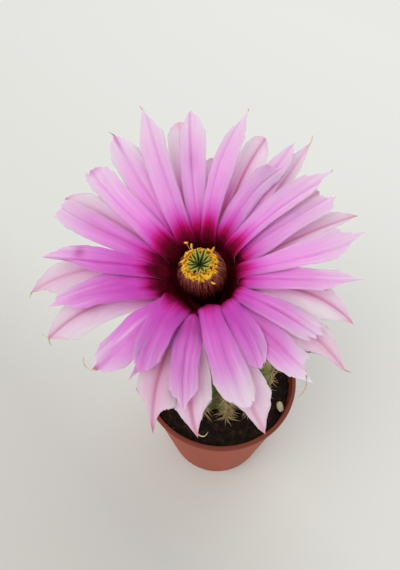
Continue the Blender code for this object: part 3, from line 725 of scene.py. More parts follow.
def spineTree():
    # at each areole a ring of spines leaning out, turned evenly with a little disorder
    tree, given, result = newTree("areoleSpines", [
        ("Spine", "Object"), ("Count", "Int"), ("Length", "Float"), ("Lean", "Float"), ("Lean Spread", "Float"),
        ("Material", "Material"), ("Seed", "Int")])
    facing, upward = [addNode(tree, "GeometryNodeInputNamedAttribute", {"Name": name}, data_type="FLOAT_VECTOR")
                      for name in ("facing", "upward")]
    many = addNode(tree, "GeometryNodeDuplicateElements", {"Geometry": given["Geometry"], "Amount": given["Count"]},
                   domain="POINT")
    base = addNode(tree, "FunctionNodeAxesToRotation", {0: facing, 1: upward}, primary_axis="Z", secondary_axis="Y")
    jitter = addNode(tree, "FunctionNodeRandomValue", {2: -0.3, 3: 0.3, "Seed": given["Seed"]}, data_type="FLOAT")
    step = addNode(tree, "ShaderNodeMath", {0: many.outputs["Duplicate Index"], 1: jitter.outputs[1]},
                   operation="ADD")
    part = addNode(tree, "ShaderNodeMath", {0: step, 1: given["Count"]}, operation="DIVIDE")
    bearing = addNode(tree, "ShaderNodeMath", {0: part, 1: 2 * math.pi}, operation="MULTIPLY")
    around = addNode(tree, "FunctionNodeAxisAngleToRotation", {"Axis": (0, 0, 1), "Angle": bearing})
    wobble = addNode(tree, "FunctionNodeRandomValue", {2: -1.0, 3: 1.0, "Seed": 23}, data_type="FLOAT")
    lean = addNode(tree, "ShaderNodeMath", {0: wobble.outputs[1], 1: given["Lean Spread"], 2: given["Lean"]},
                   operation="MULTIPLY_ADD")
    tip = addNode(tree, "FunctionNodeAxisAngleToRotation", {"Axis": (1, 0, 0), "Angle": lean})
    turned = addNode(tree, "FunctionNodeRotateRotation", {"Rotation": base, "Rotate By": around},
                     rotation_space="LOCAL")
    tipped = addNode(tree, "FunctionNodeRotateRotation", {"Rotation": turned, "Rotate By": tip},
                     rotation_space="LOCAL")
    grown = addNode(tree, "FunctionNodeRandomValue", {2: 0.72, 3: 1.08, "Seed": 31}, data_type="FLOAT")
    size = addNode(tree, "ShaderNodeMath", {0: grown.outputs[1], 1: given["Length"]}, operation="MULTIPLY")
    spine = addNode(tree, "GeometryNodeObjectInfo", {"Object": given["Spine"], "As Instance": True})
    placed = addNode(tree, "GeometryNodeInstanceOnPoints", {
        "Points": many, "Instance": spine.outputs["Geometry"], "Rotation": tipped, "Scale": size})
    return closeTree(tree, placed, given, result)


def hornMaterial(name, low, middle, high):
    # spine horn: dull and fibrous, lighter and darker in uneven patches
    made, tree, shader = newMaterial(name, Roughness=0.55, Specular_IOR_Level=0.4, Subsurface_Weight=0.15,
                                     Subsurface_Scale=0.0005)
    place = addNode(tree, "ShaderNodeTexCoord").outputs["Object"]
    bands = addNode(tree, "ShaderNodeTexNoise", {"Vector": place, "Scale": 650.0, "Detail": 3.0})
    tones = addNode(tree, "ShaderNodeValToRGB", {"Fac": bands.outputs["Fac"]},
                    stops=[(0.3, low), (0.5, middle), (0.68, high)])
    feed(tree, shader, Base_Color=tones)
    return made


def makeStem():
    # cactus skin: waxy cuticle, olive green, yellower on the crests, corky tan near the soil
    made, tree, shader = newMaterial("waxyCuticle", IOR=1.45, Specular_IOR_Level=0.45, Subsurface_Weight=0.1,
                                     Subsurface_Scale=0.002, Coat_Weight=0.08, Coat_Roughness=0.4)
    place = addNode(tree, "ShaderNodeTexCoord").outputs["Object"]
    crest = addNode(tree, "ShaderNodeAttribute", attribute_name="crest").outputs["Fac"]
    rise = addNode(tree, "ShaderNodeAttribute", attribute_name="rise").outputs["Fac"]
    blotch = addNode(tree, "ShaderNodeTexNoise", {"Vector": place, "Scale": 230.0, "Detail": 4.0})
    speck = addNode(tree, "ShaderNodeTexNoise", {"Vector": place, "Scale": 2600.0, "Detail": 2.0})
    shift = addNode(tree, "ShaderNodeMath", {0: blotch.outputs["Fac"], 1: 0.7, 2: -0.35}, operation="MULTIPLY_ADD")
    lifted = addNode(tree, "ShaderNodeMath", {0: crest, 1: shift}, operation="ADD")
    # grooves darker, crests yellower: partly the skin's own colour, partly painted shade and highlight
    skin = addNode(tree, "ShaderNodeValToRGB", {"Fac": lifted},
                   stops=[(0.0, "#3d4a26"), (0.4, "#5f6c36"), (0.75, "#7d8445"), (1.0, "#979358")])
    height = addNode(tree, "ShaderNodeMath", {0: rise, 1: shift}, operation="ADD")
    worn = addNode(tree, "ShaderNodeMapRange", {"Value": height, "From Min": 0.34, "From Max": 0.02, "To Max": 0.85})
    aged = addNode(tree, "ShaderNodeMix", {0: worn.outputs[0], 6: skin, 7: colour("#8a7a50")}, data_type="RGBA")
    dots = addNode(tree, "ShaderNodeMapRange", {
        "Value": speck.outputs["Fac"], "From Min": 0.58, "From Max": 0.7, "To Max": 0.35})
    dotted = addNode(tree, "ShaderNodeMix", {0: dots.outputs[0], 6: aged.outputs[2], 7: colour("#b5b77a")},
                     data_type="RGBA")
    gloss = addNode(tree, "ShaderNodeMapRange", {"Value": blotch.outputs["Fac"], "To Min": 0.42, "To Max": 0.62})
    bump = addNode(tree, "ShaderNodeBump", {"Height": speck.outputs["Fac"], "Strength": 0.3, "Distance": 0.00012})
    feed(tree, shader, Base_Color=dotted.outputs[2], Roughness=gloss, Normal=bump)

    s = stemSizes
    sides = s["ribs"] * s["sidesPerRib"]
    level = soilSizes["level"]
    points, crestValues, riseValues = [], [], []
    rootOutline = ((0.1, s["rootDepth"]), (0.45, s["rootDepth"]), (0.85, s["rootDepth"] * 0.86),
                   (1.0, s["rootDepth"] * 0.7), (1.0, 0.3))
    for share, depth in rootOutline:
        points += circlePoints(share * s["rootRadius"], level - depth, sides, s["centre"])
        crestValues += [0.5] * sides
        riseValues += [0.0] * sides
    first, last = 2.2, s["height"] * 0.985
    for row in range(s["rows"]):
        share = (row / (s["rows"] - 1)) ** 0.92
        height = mixed(first, last, share)
        for i in range(sides):
            angle = 2 * math.pi * i / sides
            points.append(stemPoint(height, angle, 0.18))
            crestValues.append(0.5 + 0.5 * math.cos(s["ribs"] * angle))
            riseValues.append(height / s["height"])
    stem = newPiece("ribbedStem", points, ringFaces(len(rootOutline) + s["rows"], sides), made, 60,
                    {"crest": crestValues, "rise": riseValues})

    # the areoles' places, clear of the flower's tube
    tubeBase = leaned @ Vector((0, 0, -flowerPlace["tubeLength"] * mm)) / mm
    spots, facing, upward = [], [], []
    for rib in range(s["ribs"]):
        angle = 2 * math.pi * rib / s["ribs"]
        for row in range(s["areoleRows"]):
            height = s["height"] * (row + 0.5) / (s["areoleRows"] + 0.5)
            spot = stemPoint(height, angle)
            if (spot - tubeBase).length > s["tubeClearance"]:
                normal = stemNormal(height, angle)
                spots.append(spot - 0.25 * normal)
                facing.append(normal)
                upward.append((Vector((0, 0, 1)) - normal.z * normal).normalized())
    areoles = newPiece("areolePoints", spots, [], None, attributes={"facing": facing, "upward": upward})
    horn = hornMaterial("spineHorn", "#7d6044", "#b0946a", "#d3c19a")
    felt = hornMaterial("areoleFelt", "#a39574", "#cfc4a4", "#e8e0c8")
    felt.node_tree.nodes["Principled BSDF"].inputs["Roughness"].default_value = 0.95
    spine = spineMesh("oneSpine", horn)
    tuft = makeCrumb("oneTuft", 8, (1.5, 2.1, 1.0), felt)
    radial = grow(areoles, spines, {
        "Spine": spine, "Count": s["radialSpines"], "Length": s["spineLength"] * mm,
        "Lean": math.radians(s["radialLean"]), "Lean Spread": 0.12, "Material": horn, "Seed": 2}, "radialSpines")
    central = grow(areoles, spines, {
        "Spine": spine, "Count": s["centralSpines"], "Length": s["spineLength"] * 0.8 * mm,
        "Lean": math.radians(s["centralLean"]), "Lean Spread": 0.25, "Material": horn, "Seed": 5}, "centralSpines")
    tufts = grow(areoles, spines, {
        "Spine": tuft, "Count": 4, "Length": 0.8, "Lean": 0.3, "Lean Spread": 0.5, "Material": felt, "Seed": 3},
        "areoleTufts")
    discard(spine, tuft, areoles)
    stem = joinPieces(stem, radial, central, tufts)
    settle(stem, "stem")


spines = spineTree()
makeStem()


# Flower tube: brown-green skin with small scales, and bristles in their axils

tubeSizes = {
    "baseRadius": 5.0,
    "topRadius": 14.4,
    "socketDepth": 7.5,
    "topHeight": -10.5,
    "scales": 24,
    "scaleSpan": (-26.5, -15.0),
    "scaleLength": (2.8, 4.0),
    "scaleTurn": 137.5,         # the golden angle
    "bristles": 6,
    "bristleLength": 5.5,
    "bristleLean": -38,
    "sides": 120,
}


def tubeRadius(height):
    s = tubeSizes
    low = -flowerPlace["tubeLength"]
    share = (height - low) / (s["topHeight"] - low)
    ovary = 1.7 * math.exp(-(((share - 0.3) / 0.22) ** 2))
    return s["baseRadius"] + (s["topRadius"] - s["baseRadius"]) * smooth(share) ** 1.2 + ovary


def scaleTree():
    # one scale at each point, standing as its facing and climbing directions say
    tree, given, result = newTree("tubeScales", [("Scale", "Object"), ("Material", "Material")])
    facing, upward = [addNode(tree, "GeometryNodeInputNamedAttribute", {"Name": name}, data_type="FLOAT_VECTOR")
                      for name in ("facing", "upward")]
    size = addNode(tree, "GeometryNodeInputNamedAttribute", {"Name": "size"}, data_type="FLOAT")
    base = addNode(tree, "FunctionNodeAxesToRotation", {0: facing, 1: upward}, primary_axis="Z", secondary_axis="Y")
    scale = addNode(tree, "GeometryNodeObjectInfo", {"Object": given["Scale"], "As Instance": True})
    placed = addNode(tree, "GeometryNodeInstanceOnPoints", {
        "Points": given["Geometry"], "Rotation": base, "Instance": scale.outputs["Geometry"], "Scale": size})
    return closeTree(tree, placed, given, result)


def makeTube():
    # young flower skin: soft, finely pored, olive below and flushed brown-pink towards the petals
    made, tree, shader = newMaterial("flowerTubeSkin", Roughness=0.6, Specular_IOR_Level=0.35,
                                     Subsurface_Weight=0.15, Subsurface_Scale=0.0015)
    place = addNode(tree, "ShaderNodeTexCoord").outputs["Object"]
    rise = addNode(tree, "ShaderNodeAttribute", attribute_name="rise").outputs["Fac"]
    blotch = addNode(tree, "ShaderNodeTexNoise", {"Vector": place, "Scale": 260.0, "Detail": 4.0})
    shift = addNode(tree, "ShaderNodeMath", {0: blotch.outputs["Fac"], 1: 0.5, 2: -0.25}, operation="MULTIPLY_ADD")
    lifted = addNode(tree, "ShaderNodeMath", {0: rise, 1: shift}, operation="ADD")
    tones = addNode(tree, "ShaderNodeValToRGB", {"Fac": lifted},
                    stops=[(0.0, "#566030"), (0.45, "#6f6a3c"), (0.75, "#8a6c4a"), (1.0, "#a87a66")])
    pores = addNode(tree, "ShaderNodeTexNoise", {"Vector": place, "Scale": 2200.0, "Detail": 2.0})
    bump = addNode(tree, "ShaderNodeBump", {"Height": pores.outputs["Fac"], "Strength": 0.3, "Distance": 0.00012})
    feed(tree, shader, Base_Color=tones, Normal=bump)

    s = tubeSizes
    low, sides = -flowerPlace["tubeLength"], s["sides"]
    outline = [(1.0, low - s["socketDepth"] + 0.3), (s["baseRadius"], low - s["socketDepth"] + 0.3)]
    steps = 48
    for k in range(steps + 1):
        height = mixed(low, s["topHeight"], k / steps)
        outline.append((tubeRadius(height), height))
    outline += [(12.5, -10.5), (10.2, -12.9), (6.6, -17.6), (1.0, -17.6)]
    points, rise = [], []
    for radius, height in outline:
        for x, y, z in circlePoints(radius, height, sides):
            angle = math.atan2(y, x)
            share = min(max((height - low) / (s["topHeight"] - low), 0), 1)
            # eighteen shallow ribs, turning a little as they climb
            ripple = 0.16 * math.cos(18 * angle + 2 * share) * smooth(share * 3) * smooth((1 - share) * 4)
            points.append((x * (1 + ripple / radius), y * (1 + ripple / radius), z))
            rise.append(share)
    tube = newPiece("scalyTube", points, ringFaces(len(outline), sides), made, 50, {"rise": rise}, place=leaned)

    # a pointed scale lying along +Y, its outside towards +Z, one millimetre long to be scaled
    grid, rows, columns, halfThick = [], 9, 7, 0.05
    for k in range(rows):
        share = k / (rows - 1)
        half = 0.38 * math.sqrt(max(1 - share ** 1.6, 0.0)) + 0.015
        for j in range(columns):
            t = 2 * j / (columns - 1) - 1
            hollow = 0.16 * abs(t) ** 1.6 * (1 - 0.5 * share)
            grid.append((t * half, share, mixed(-0.17, 0.33, share ** 1.3) - hollow))
    points = [(x, y, z + halfThick * (1 - 0.6 * y)) for x, y, z in grid]
    points += [(x, y, z - halfThick * (1 - 0.6 * y)) for x, y, z in grid]
    scale = newPiece("oneScale", points, bladeFaces(rows, columns, len(grid)), made, 40,
                     {"rise": [0.55 + 0.5 * p[1] for p in points]})
    spots, facing, upward, sizes, axils = [], [], [], [], []
    for k in range(s["scales"]):
        share = k / (s["scales"] - 1)
        height = mixed(*s["scaleSpan"], share)
        angle = k * math.radians(s["scaleTurn"])
        radial = Vector((math.cos(angle), math.sin(angle), 0))
        slope = (tubeRadius(height + 1) - tubeRadius(height - 1)) / 2
        climb = (Vector((0, 0, 1)) + slope * radial).normalized()
        out = (radial - Vector((0, 0, slope))).normalized()
        foot = tubeRadius(height) * radial + Vector((0, 0, height))
        spots.append(foot)
        axils.append(foot + 0.2 * climb)
        facing.append(out)
        upward.append(climb)
        sizes.append(mixed(*s["scaleLength"], share))
    marks = newPiece("scalePoints", spots, [], None,
                     attributes={"facing": facing, "upward": upward, "size": sizes})
    scales = grow(marks, scaleTree(), {"Scale": scale, "Material": made}, "tubeScales", leaned)
    pockets = newPiece("axilPoints", axils, [], None, attributes={"facing": facing, "upward": upward})
    bristleHorn = hornMaterial("bristleHorn", "#a98a5c", "#cdb585", "#e9dcba")
    bristle = spineMesh("oneBristle", bristleHorn, sides=4, steps=6, bend=0.2, width=0.022)
    bristles = grow(pockets, spines, {
        "Spine": bristle, "Count": s["bristles"], "Length": s["bristleLength"] * mm,
        "Lean": math.radians(s["bristleLean"]), "Lean Spread": 0.35, "Material": bristleHorn, "Seed": 12},
        "tubeBristles", leaned)
    discard(scale, bristle, marks, pockets)
    tube = joinPieces(tube, scales, bristles)
    settle(tube, "flower_tube")


makeTube()


# Petals: they climb the throat's wall, turn over a round shoulder and spread

petalLayers = {
    "wallRadius": 9.2,
    "shoulderRadius": 10.2,
    "shoulderBend": 3.2,
    "rootHeight": -9.0,
    "layerStep": 0.85,
    "outerDrop": 0.9,
    "spread": (11.0, 11.0),     # rise in the middle, and how much more at the back
    "arch": 1.0,
    "freeFrom": 12.4,           # distance out from which the half widths are given
    "outerLevel": 4,            # from this level down a petal is an outer one
    "crown": (0.12, 0.42),      # convex over the shoulder: at the back, and towards the viewer
    "thickness": (0.5, 0.14),   # along the middle, and at the edge
    "rampEnd": 50,              # distance out at which the colour ramps end
    "rows": 52,
    "columns": 33,
    "cupSides": 96,
}

petalRelief = {
    "hollow": 0.13,             # how much a petal's end is hollowed, for each mm of half width
    "outerHollow": 0.07,
    "outerCrown": 0.08,
    "notches": 0.8,             # broad notches in the end, and the fine teeth between them
    "teeth": 2.1,
    "outerTeeth": 0.6,          # share of both on the outer petals
    "wander": 0.05,             # slow change of the half width along a side, and its ragged change
    "ragged": 0.09,
    "folds": (0.16, 0.06),      # broad and fine
    "foldWidth": 0.14,
    "edgeWave": 0.7,
    # how much further out the dark of the throat runs on each side, and how much less
    "darkLeft": 3.2,
    "lessRight": 1.0,
    "lessFront": 1.2,
    "darkBack": 0.9,
    "outerBackPaintedPink": 11.0,      # painted light: the outer petals at the back are painted pinker where the petals above shade them
}

threadSizes = {
    "radius": (0.19, 0.05),     # at the foot and at the end
    "sides": 6,
    "steps": 12,
    "lookBack": 0.05,           # the thread goes on in the direction of this last share of the petal
}

# How far nine places across the end fall short of the tip, from the edge of smaller bearing to the other
petalEnds = {
    "spear": (9, 6.3, 4.2, 2.2, 0, 2.4, 4.5, 6.6, 9),
    "point": (8, 6.3, 4.6, 2.6, 0, 2.6, 4.6, 5.6, 7.8),
    "spade": (8, 4.6, 2.8, 1.5, 0, 1.5, 2.8, 4.6, 8),
    "awned": (8.8, 7.4, 6.3, 4.2, 0, 4.2, 5.9, 6.7, 7.4),
    "tooth": (8, 5.8, 4.5, 3.6, 0, 2.6, 4.2, 5.4, 7),
    "round": (4.5, 1.5, 0.8, 0.3, 0, 0.2, 0.7, 1.7, 4.2),
    "dome": (6, 3.4, 1.7, 0.7, 0, 1.0, 2.8, 4.8, 7),
    "ragged": (4, 2, 2.8, 1.2, 1.9, 0.3, 1.5, 1.1, 3.2),
    "stepped": (3.6, 2, 1.8, 1.5, 0, 1.7, 2.6, 3.4, 5),
    "folded": (4.8, 2.2, 0.8, 0, 1.8, 2.8, 3.0, 2.8, 3.2),
    "shield": (7, 4.6, 2.6, 1.6, 0, 1.2, 2, 3.2, 5.2),
    "slant": (4.8, 2.7, 1.7, 0.9, 0.4, 0, -0.2, 0, 1.2),
    "square": (2.8, 1, 0.8, 0.6, 0.8, 0.5, 0.1, 0.8, 4.5),
    "cut": (8, 4.5, 2.6, 1.2, 0, 0.6, 1.2, 1.8, 2.6),
    "lopped": (4.5, 2.4, 2, 1.7, 0, 3.4, 5.2, 6.8, 9.4),
    "hooked": (6, 3, 2.7, 2.6, 0.3, 1, 2, 3.2, 5.5),
    "kite": (4.8, 3.4, 2.9, 1.8, 0, 1.6, 3, 3.8, 5),
    "ramp": (7.6, 3.8, 2.8, 1.8, 0.9, 0.4, 0.3, 1, 3.2),
    "horn": (7.5, 4.8, 3.2, 1.6, 0, 3, 4.2, 4.4, 4.8),
    "wing": (8.4, 7, 5.8, 4.4, 0, 1.6, 2.8, 3.8, 5.5),
    "sweep": (7, 4.6, 2.8, 1.3, 0.3, 0, 0.2, 0.8, 3),
    "shear": (5.5, 3.2, 1.8, 0.9, 0, 3, 4.8, 6, 7.6),
    "blunt": (5, 2.2, 1.1, 0.4, 0, 1.4, 3, 4.8, 7.5),
    "lance": (10, 8, 5.6, 1.4, 0, 2, 4, 5.4, 9),
}

# Bearing at the root (0 right, 90 back), reach, level from the top, turn of the tip, half widths at five
# places from the shoulder to the tip on the side of larger bearings and on the other side, end,
# depth of colour, lengthwise fold (place across from -1 to 1, and depth), lift of the tip
# the depth of colour is partly each petal's own, partly painted shade on the petals towards the viewer
innerPetals = [
    (358.5, 42, 0, 8, (2.1, 2.6, 3.4, 3.9, 4.1), (2.1, 2.7, 3.4, 4.0, 3.6), "tooth", 0.25, (-0.3, 0.3), 0.0),
    (23.5, 40, 2, 1, (3, 3.1, 2.9, 3.2, 3.0), (3, 3.3, 2.9, 3.3, 3.6), "stepped", 0.15, (0.2, 0.3), 0.0),
    (37, 42, 0, -5, (2.6, 2.9, 3.1, 3.4, 3.3), (2.0, 2.4, 3.1, 3.1, 3.0), "tooth", 0.1, (-0.35, 0.35), 0.3),
    (50.5, 43, 2, 0.5, (3, 3.4, 3.4, 2.8, 2.2), (3, 3.3, 3.4, 3.0, 2.4), "spade", 0.1, (0.1, 0.35), 0.4),
    (60, 36, 1, -12.5, (3, 3.2, 3.2, 3.6, 3.6), (3, 3.2, 3.2, 3.1, 2.6), "folded", 0.2, (-0.1, 0.3), 0.3),
    (80, 45, 0, -9.5, (2.2, 2.6, 2.8, 2.3, 2.1), (2, 2.8, 3.7, 3.5, 3.0), "point", 0.1, (0.3, 0.3), 0.4),
    (94, 45, 1, -2, (2.5, 3, 3.3, 3.3, 3.2), (2.6, 3.2, 3.9, 4.3, 3.8), "dome", 0.1, (0.05, 0.5), 0.5),
    (113, 48, 0, -4.5, (2.6, 3.2, 3.2, 2.9, 2.6), (2.5, 3.3, 3.9, 4.4, 4.4), "spear", 0.1, (-0.25, 0.4), 0.5),
    (123, 47, 2, -2, (2.8, 3.7, 4.2, 4.1, 3.8), (2.8, 3.8, 4.5, 4.5, 4.0), "shield", 0.15, (0.0, 0.35), 0.3),
    (140, 41, 0, -5.5, (3.1, 3.4, 3.7, 4.2, 4.4), (3.1, 3.4, 3.4, 3.4, 3.8), "slant", 0.2, (0.35, 0.3), 0.3),
    (159, 43, 1, -4, (2.4, 3.1, 3.7, 3.9, 4.0), (2.2, 3, 3.6, 4.2, 3.8), "square", 0.6, (-0.1, 0.3), 0.2),
    (175, 42, 0, 0.5, (2.5, 3.2, 3.4, 1.0, 0.6), (1.5, 2.8, 3.6, 3.8, 3.4), "cut", 0.95, (0.15, 0.5), 0.3),
    (190, 41, 1, 4, (4.2, 4.2, 4.1, 4.6, 3.8), (4.0, 4.6, 4.0, 3.0, 2.6), "lopped", 1.0, (0.3, 0.25), 0.0),
    (227, 38, 1, -3, (3.0, 4.5, 5.2, 5.4, 5.0), (4.2, 5.0, 4.2, 3.5, 3.2), "hooked", 0.85, (0.0, 0.25), -0.3),
    (229.5, 31, 0, 11.5, (4.6, 4.8, 5.6, 5.2, 4.4), (4.1, 3.4, 2.8, 3.0, 3.1), "round", 0.95, (0.1, 0.25), 0.0),
    (241, 34, 3, -3.5, (2.6, 3, 2.8, 2.6, 2.4), (2.6, 3, 2.6, 2.2, 2.0), "spear", 0.85, (0.0, 0.2), 0.0),
    (258.5, 37, 2, 5, (3.3, 3.8, 3.5, 3.7, 3.4), (3.3, 3.8, 3.5, 3.7, 3.4), "kite", 0.9, (-0.05, 0.35), 0.0),
    (279.5, 38.5, 0, 5.5, (3.0, 4.0, 4.8, 5.0, 3.8), (2.8, 3.2, 3.4, 4.1, 4.6), "ramp", 0.9, (0.2, 0.3), 0.0),
    (305, 31, 1, -7.5, (2.9, 3.1, 3.4, 3.4, 3.0), (2.9, 3.1, 3.4, 3.4, 3.0), "round", 1.0, (-0.2, 0.3), 0.0),
    (307, 40.5, 2, 3, (3.2, 4.6, 4.8, 4.4, 4.0), (1.6, 2.5, 3.1, 3.5, 3.6), "horn", 0.8, (0.3, 0.35), 0.0),
    (327, 36, 1, -3, (2.2, 2.6, 2.9, 2.9, 3.0), (2.3, 3, 3.4, 3.3, 3.0), "ragged", 0.75, (0.0, 0.45), 0.2),
    (348, 41, 1, 2.2, (2, 2.6, 2.6, 2.0, 1.6), (2.7, 3, 3.3, 3.2, 2.8), "wing", 0.5, (-0.2, 0.35), 0.2),
]
# the same, with the strength of the middle stripe in place of the depth of colour
outerPetals = [
    (19, 44, 5, -2, (3, 3.4, 3.8, 3.8, 3.2), (3, 3, 2.6, 1.7, 1.2), "spade", 0.75, (0.0, 0.5), 0.0),
    (33, 38.5, 4, -1, (2.6, 3, 3, 3, 2.6), (2.6, 3, 3, 3, 2.6), "round", 0.9, (0.0, 0.4), 0.0),
    (46.5, 48, 5, 2, (3, 3.4, 3.4, 3.6, 3.2), (3, 3, 2.6, 2.2, 1.8), "spear", 0.3, (0.0, 0.4), 0.0),
    (68.5, 43, 4, -5.5, (3, 3.4, 3.8, 4.2, 4.0), (3, 3.4, 3.8, 4.6, 4.6), "sweep", 1.0, (0.05, 0.5), 0.0),
    (84, 35, 5, 0, (3, 3, 3, 3, 3), (3, 3, 3, 3, 3), "round", 0.3, (0.0, 0.3), 0.0),
    (97, 46, 4, 0, (3, 3.5, 4, 4.2, 4.2), (3, 3.4, 3.8, 4, 4), "round", 0.3, (0.0, 0.3), 0.0),
    (112, 42, 5, 0, (3, 3.5, 4, 4.2, 4.2), (3, 3.5, 4, 4.2, 4.2), "ragged", 0.2, (0.0, 0.3), 0.0),
    (145, 45.5, 4, 3.8, (3.5, 4, 4.4, 4.6, 4.0), (2.8, 3.2, 3.8, 4.5, 4.4), "dome", 0.5, (0.0, 0.5), 0.0),
    (171, 47, 5, 14, (3, 3.5, 4.4, 5.4, 5.2), (3, 3.5, 4, 4.5, 4.4), "shear", 0.5, (0.0, 0.3), 0.0),
    (192, 44, 4, 11, (4.6, 5.4, 6.2, 6.2, 5.0), (3, 3.5, 4.2, 4.2, 3.2), "blunt", 0.9, (0.0, 0.5), 0.0),
    (224, 32, 5, 0, (3, 3, 3, 3, 3), (3, 3, 3, 3, 3), "point", 0.5, (0.0, 0.3), 0.0),
    (245, 43, 4, 8.5, (3, 4.2, 5.4, 5.8, 5.8), (3, 4.2, 4.8, 4.4, 4.3), "awned", 0.8, (0.0, 0.5), 0.0),
    (260.5, 42, 5, 7.5, (2.8, 4.6, 5.7, 4.9, 4.4), (3, 4.2, 5.0, 5.6, 5.2), "spear", 1.0, (0.0, 0.5), 0.0),
    (286, 44, 4, 3.2, (3, 4, 5.5, 6, 5.4), (3, 4, 4.5, 4, 3.4), "lance", 0.6, (0.0, 0.5), 0.0),
    (305, 27.5, 5, 0, (2.8, 2.8, 2.8, 2.8, 2.8), (2.8, 2.8, 2.8, 2.8, 2.8), "point", 0.4, (0.0, 0.3), 0.0),
    (330, 44, 4, -9, (3, 3.6, 4, 4.0, 3.2), (3, 4.2, 4.8, 4.4, 3.4), "lance", 0.6, (0.0, 0.5), 0.0),
    (350, 41, 5, -13.5, (2.5, 3.4, 4.0, 3.8, 3.2), (2.5, 4.2, 5.6, 4.6, 3.6), "spade", 1.0, (0.0, 0.5), 0.0),
]

# Dry threads at some tips: the petal's bearing, the thread's foot across and along, then its end ahead,
# to the side of larger bearings and above, and how far its middle bows ahead
petalThreads = {
    "innerPetals": [
        (37, 0.0, 0.99, 0.7, 0.2, 0.0, 0.0), (80, 0.0, 0.99, 0.7, 0.4, 0.1, 0.1),
        (113, 0.0, 0.99, 1.1, 0.6, 0.1, 0.1), (123, 0.0, 0.99, 1.5, 1.1, 0.3, 0.5),
        (227, 0.2, 0.99, 0.9, -5.0, 0.3, 2.9), (307, 0.1, 0.97, 1.6, -5.0, -1.2, 1.8)],
    "outerPetals": [
        (46.5, 0.0, 0.99, 2.4, 0.7, 0.2, 0.2), (171, 0.0, 0.99, 1.2, 1.4, 0.2, 0.4),
        (192, 0.0, 0.99, 0.7, 2.2, 0.2, 0.5), (192, -0.1, 0.99, 0.8, -1.8, 0.3, 0.6),
        (260.5, 0.05, 0.99, 0.4, 2.6, 1.0, 1.6), (330, 0.0, 0.99, 1.5, 0.9, 0.4, 0.4)],
}
# Stains, folded-over parts and painted shade: the petal's bearing, place across and along,
# spread across and along, strength (below 0 it is a paler streak, on one petal a painted highlight)
petalMarks = {
    "innerPetals": [
        (60, 0.6, 0.93, 0.4, 0.1, 0.7), (94, 0.0, 0.56, 0.45, 0.12, 0.35), (123, 0.0, 0.94, 0.15, 0.1, 0.6),
        (140, 0.2, 0.98, 0.8, 0.035, 0.6), (159, 0.0, 0.5, 0.22, 0.3, 0.3), (175, 0.85, 0.8, 0.3, 0.07, 1.0),
        (175, -0.5, 0.68, 0.45, 0.045, 0.8), (227, 0.05, 0.97, 0.35, 0.05, 1.0),
        (227, 0.15, 0.85, 0.1, 0.1, 0.5), (227, -0.3, 0.5, 0.12, 0.22, -0.5), (258.5, 0.0, 0.05, 1.2, 0.16, 0.5),
        (279.5, 0.0, 1.0, 1.5, 0.3, -0.55), (307, 0.0, 0.55, 0.7, 0.35, 0.3), (307, 0.0, 1.0, 1.5, 0.25, -0.5),
        (327, 0.0, 1.0, 1.5, 0.3, -0.4)],
    "outerPetals": [
        (145, -0.95, 0.66, 0.15, 0.07, 1.0), (145, 0.0, 1.0, 0.15, 0.03, 0.9), (171, 0.0, 0.5, 1.2, 0.4, 0.18),
        (245, 0.0, 0.5, 1.2, 0.4, 0.35), (245, 0.0, 0.97, 0.3, 0.06, 0.8), (330, 0.0, 0.6, 1.2, 0.4, 0.15),
        (350, -0.6, 0.55, 0.35, 0.3, -0.6)],
}


def throughPoints(values, share):
    # a smooth curve through evenly spaced values
    last = len(values) - 1
    place = min(max(share, 0.0), 1.0) * last
    k = min(int(place), last - 1)
    x = place - k
    a, b, c, d = [values[min(max(k + n, 0), last)] for n in (-1, 0, 1, 2)]
    return b + 0.5 * x * (c - a + x * (2 * a - 5 * b + 4 * c - d + x * (3 * (b - c) + d - a)))


def straightThrough(values, share):
    # straight lines between evenly spaced values, so that tips stay sharp
    place = min(max(share, 0.0), 1.0) * (len(values) - 1)
    k = min(int(place), len(values) - 2)
    return mixed(values[k], values[k + 1], place - k)


def petalSpot(distance, bearing, drop):
    # radius, height and normal of a petal layer at a bearing, this far along it from the petals' roots
    s = petalLayers
    rise = math.radians(s["spread"][0] + s["spread"][1] * math.sin(math.radians(bearing)))
    bend = s["shoulderBend"]
    turned = (math.pi / 2 - rise) * bend
    centreRadius = s["wallRadius"] + bend
    centreHeight = (centreRadius - s["shoulderRadius"]) * math.tan(rise) - bend / math.cos(rise)
    distance -= centreHeight - drop - s["rootHeight"]
    if distance < 0:
        return s["wallRadius"] + drop, centreHeight - drop + distance, (-1.0, 0.0)
    angle = math.pi - min(distance, turned) / bend
    normal = (math.cos(angle), math.sin(angle))
    out = max(distance - turned, 0.0)
    arch = s["arch"] * math.sin(math.pi * min(out / 26, 1.3))
    radius = centreRadius + drop + bend * normal[0] + out * math.cos(rise) + arch * normal[0]
    height = centreHeight - drop + bend * normal[1] + out * math.sin(rise) + arch * normal[1]
    return radius, height, normal


def petalLength(reach, bearing, drop):
    # how far along it a petal layer comes out to a radius, found by halving
    low, high = 0.0, 2 * reach
    for _ in range(30):
        middle = (low + high) / 2
        if petalSpot(middle, bearing, drop)[0] < reach:
            low = middle
        else:
            high = middle
    return middle


def petalRun(petal, outer):
    # how far below the top layer a petal lies, where it leaves the throat, and its length
    bearing, reach, level, turn = petal[:4]
    drop = petalLayers["layerStep"] * level + (petalLayers["outerDrop"] if outer else 0.0)
    start = petalLength(petalLayers["freeFrom"] + drop, bearing, drop)
    return drop, start, petalLength(reach, bearing + turn, drop)


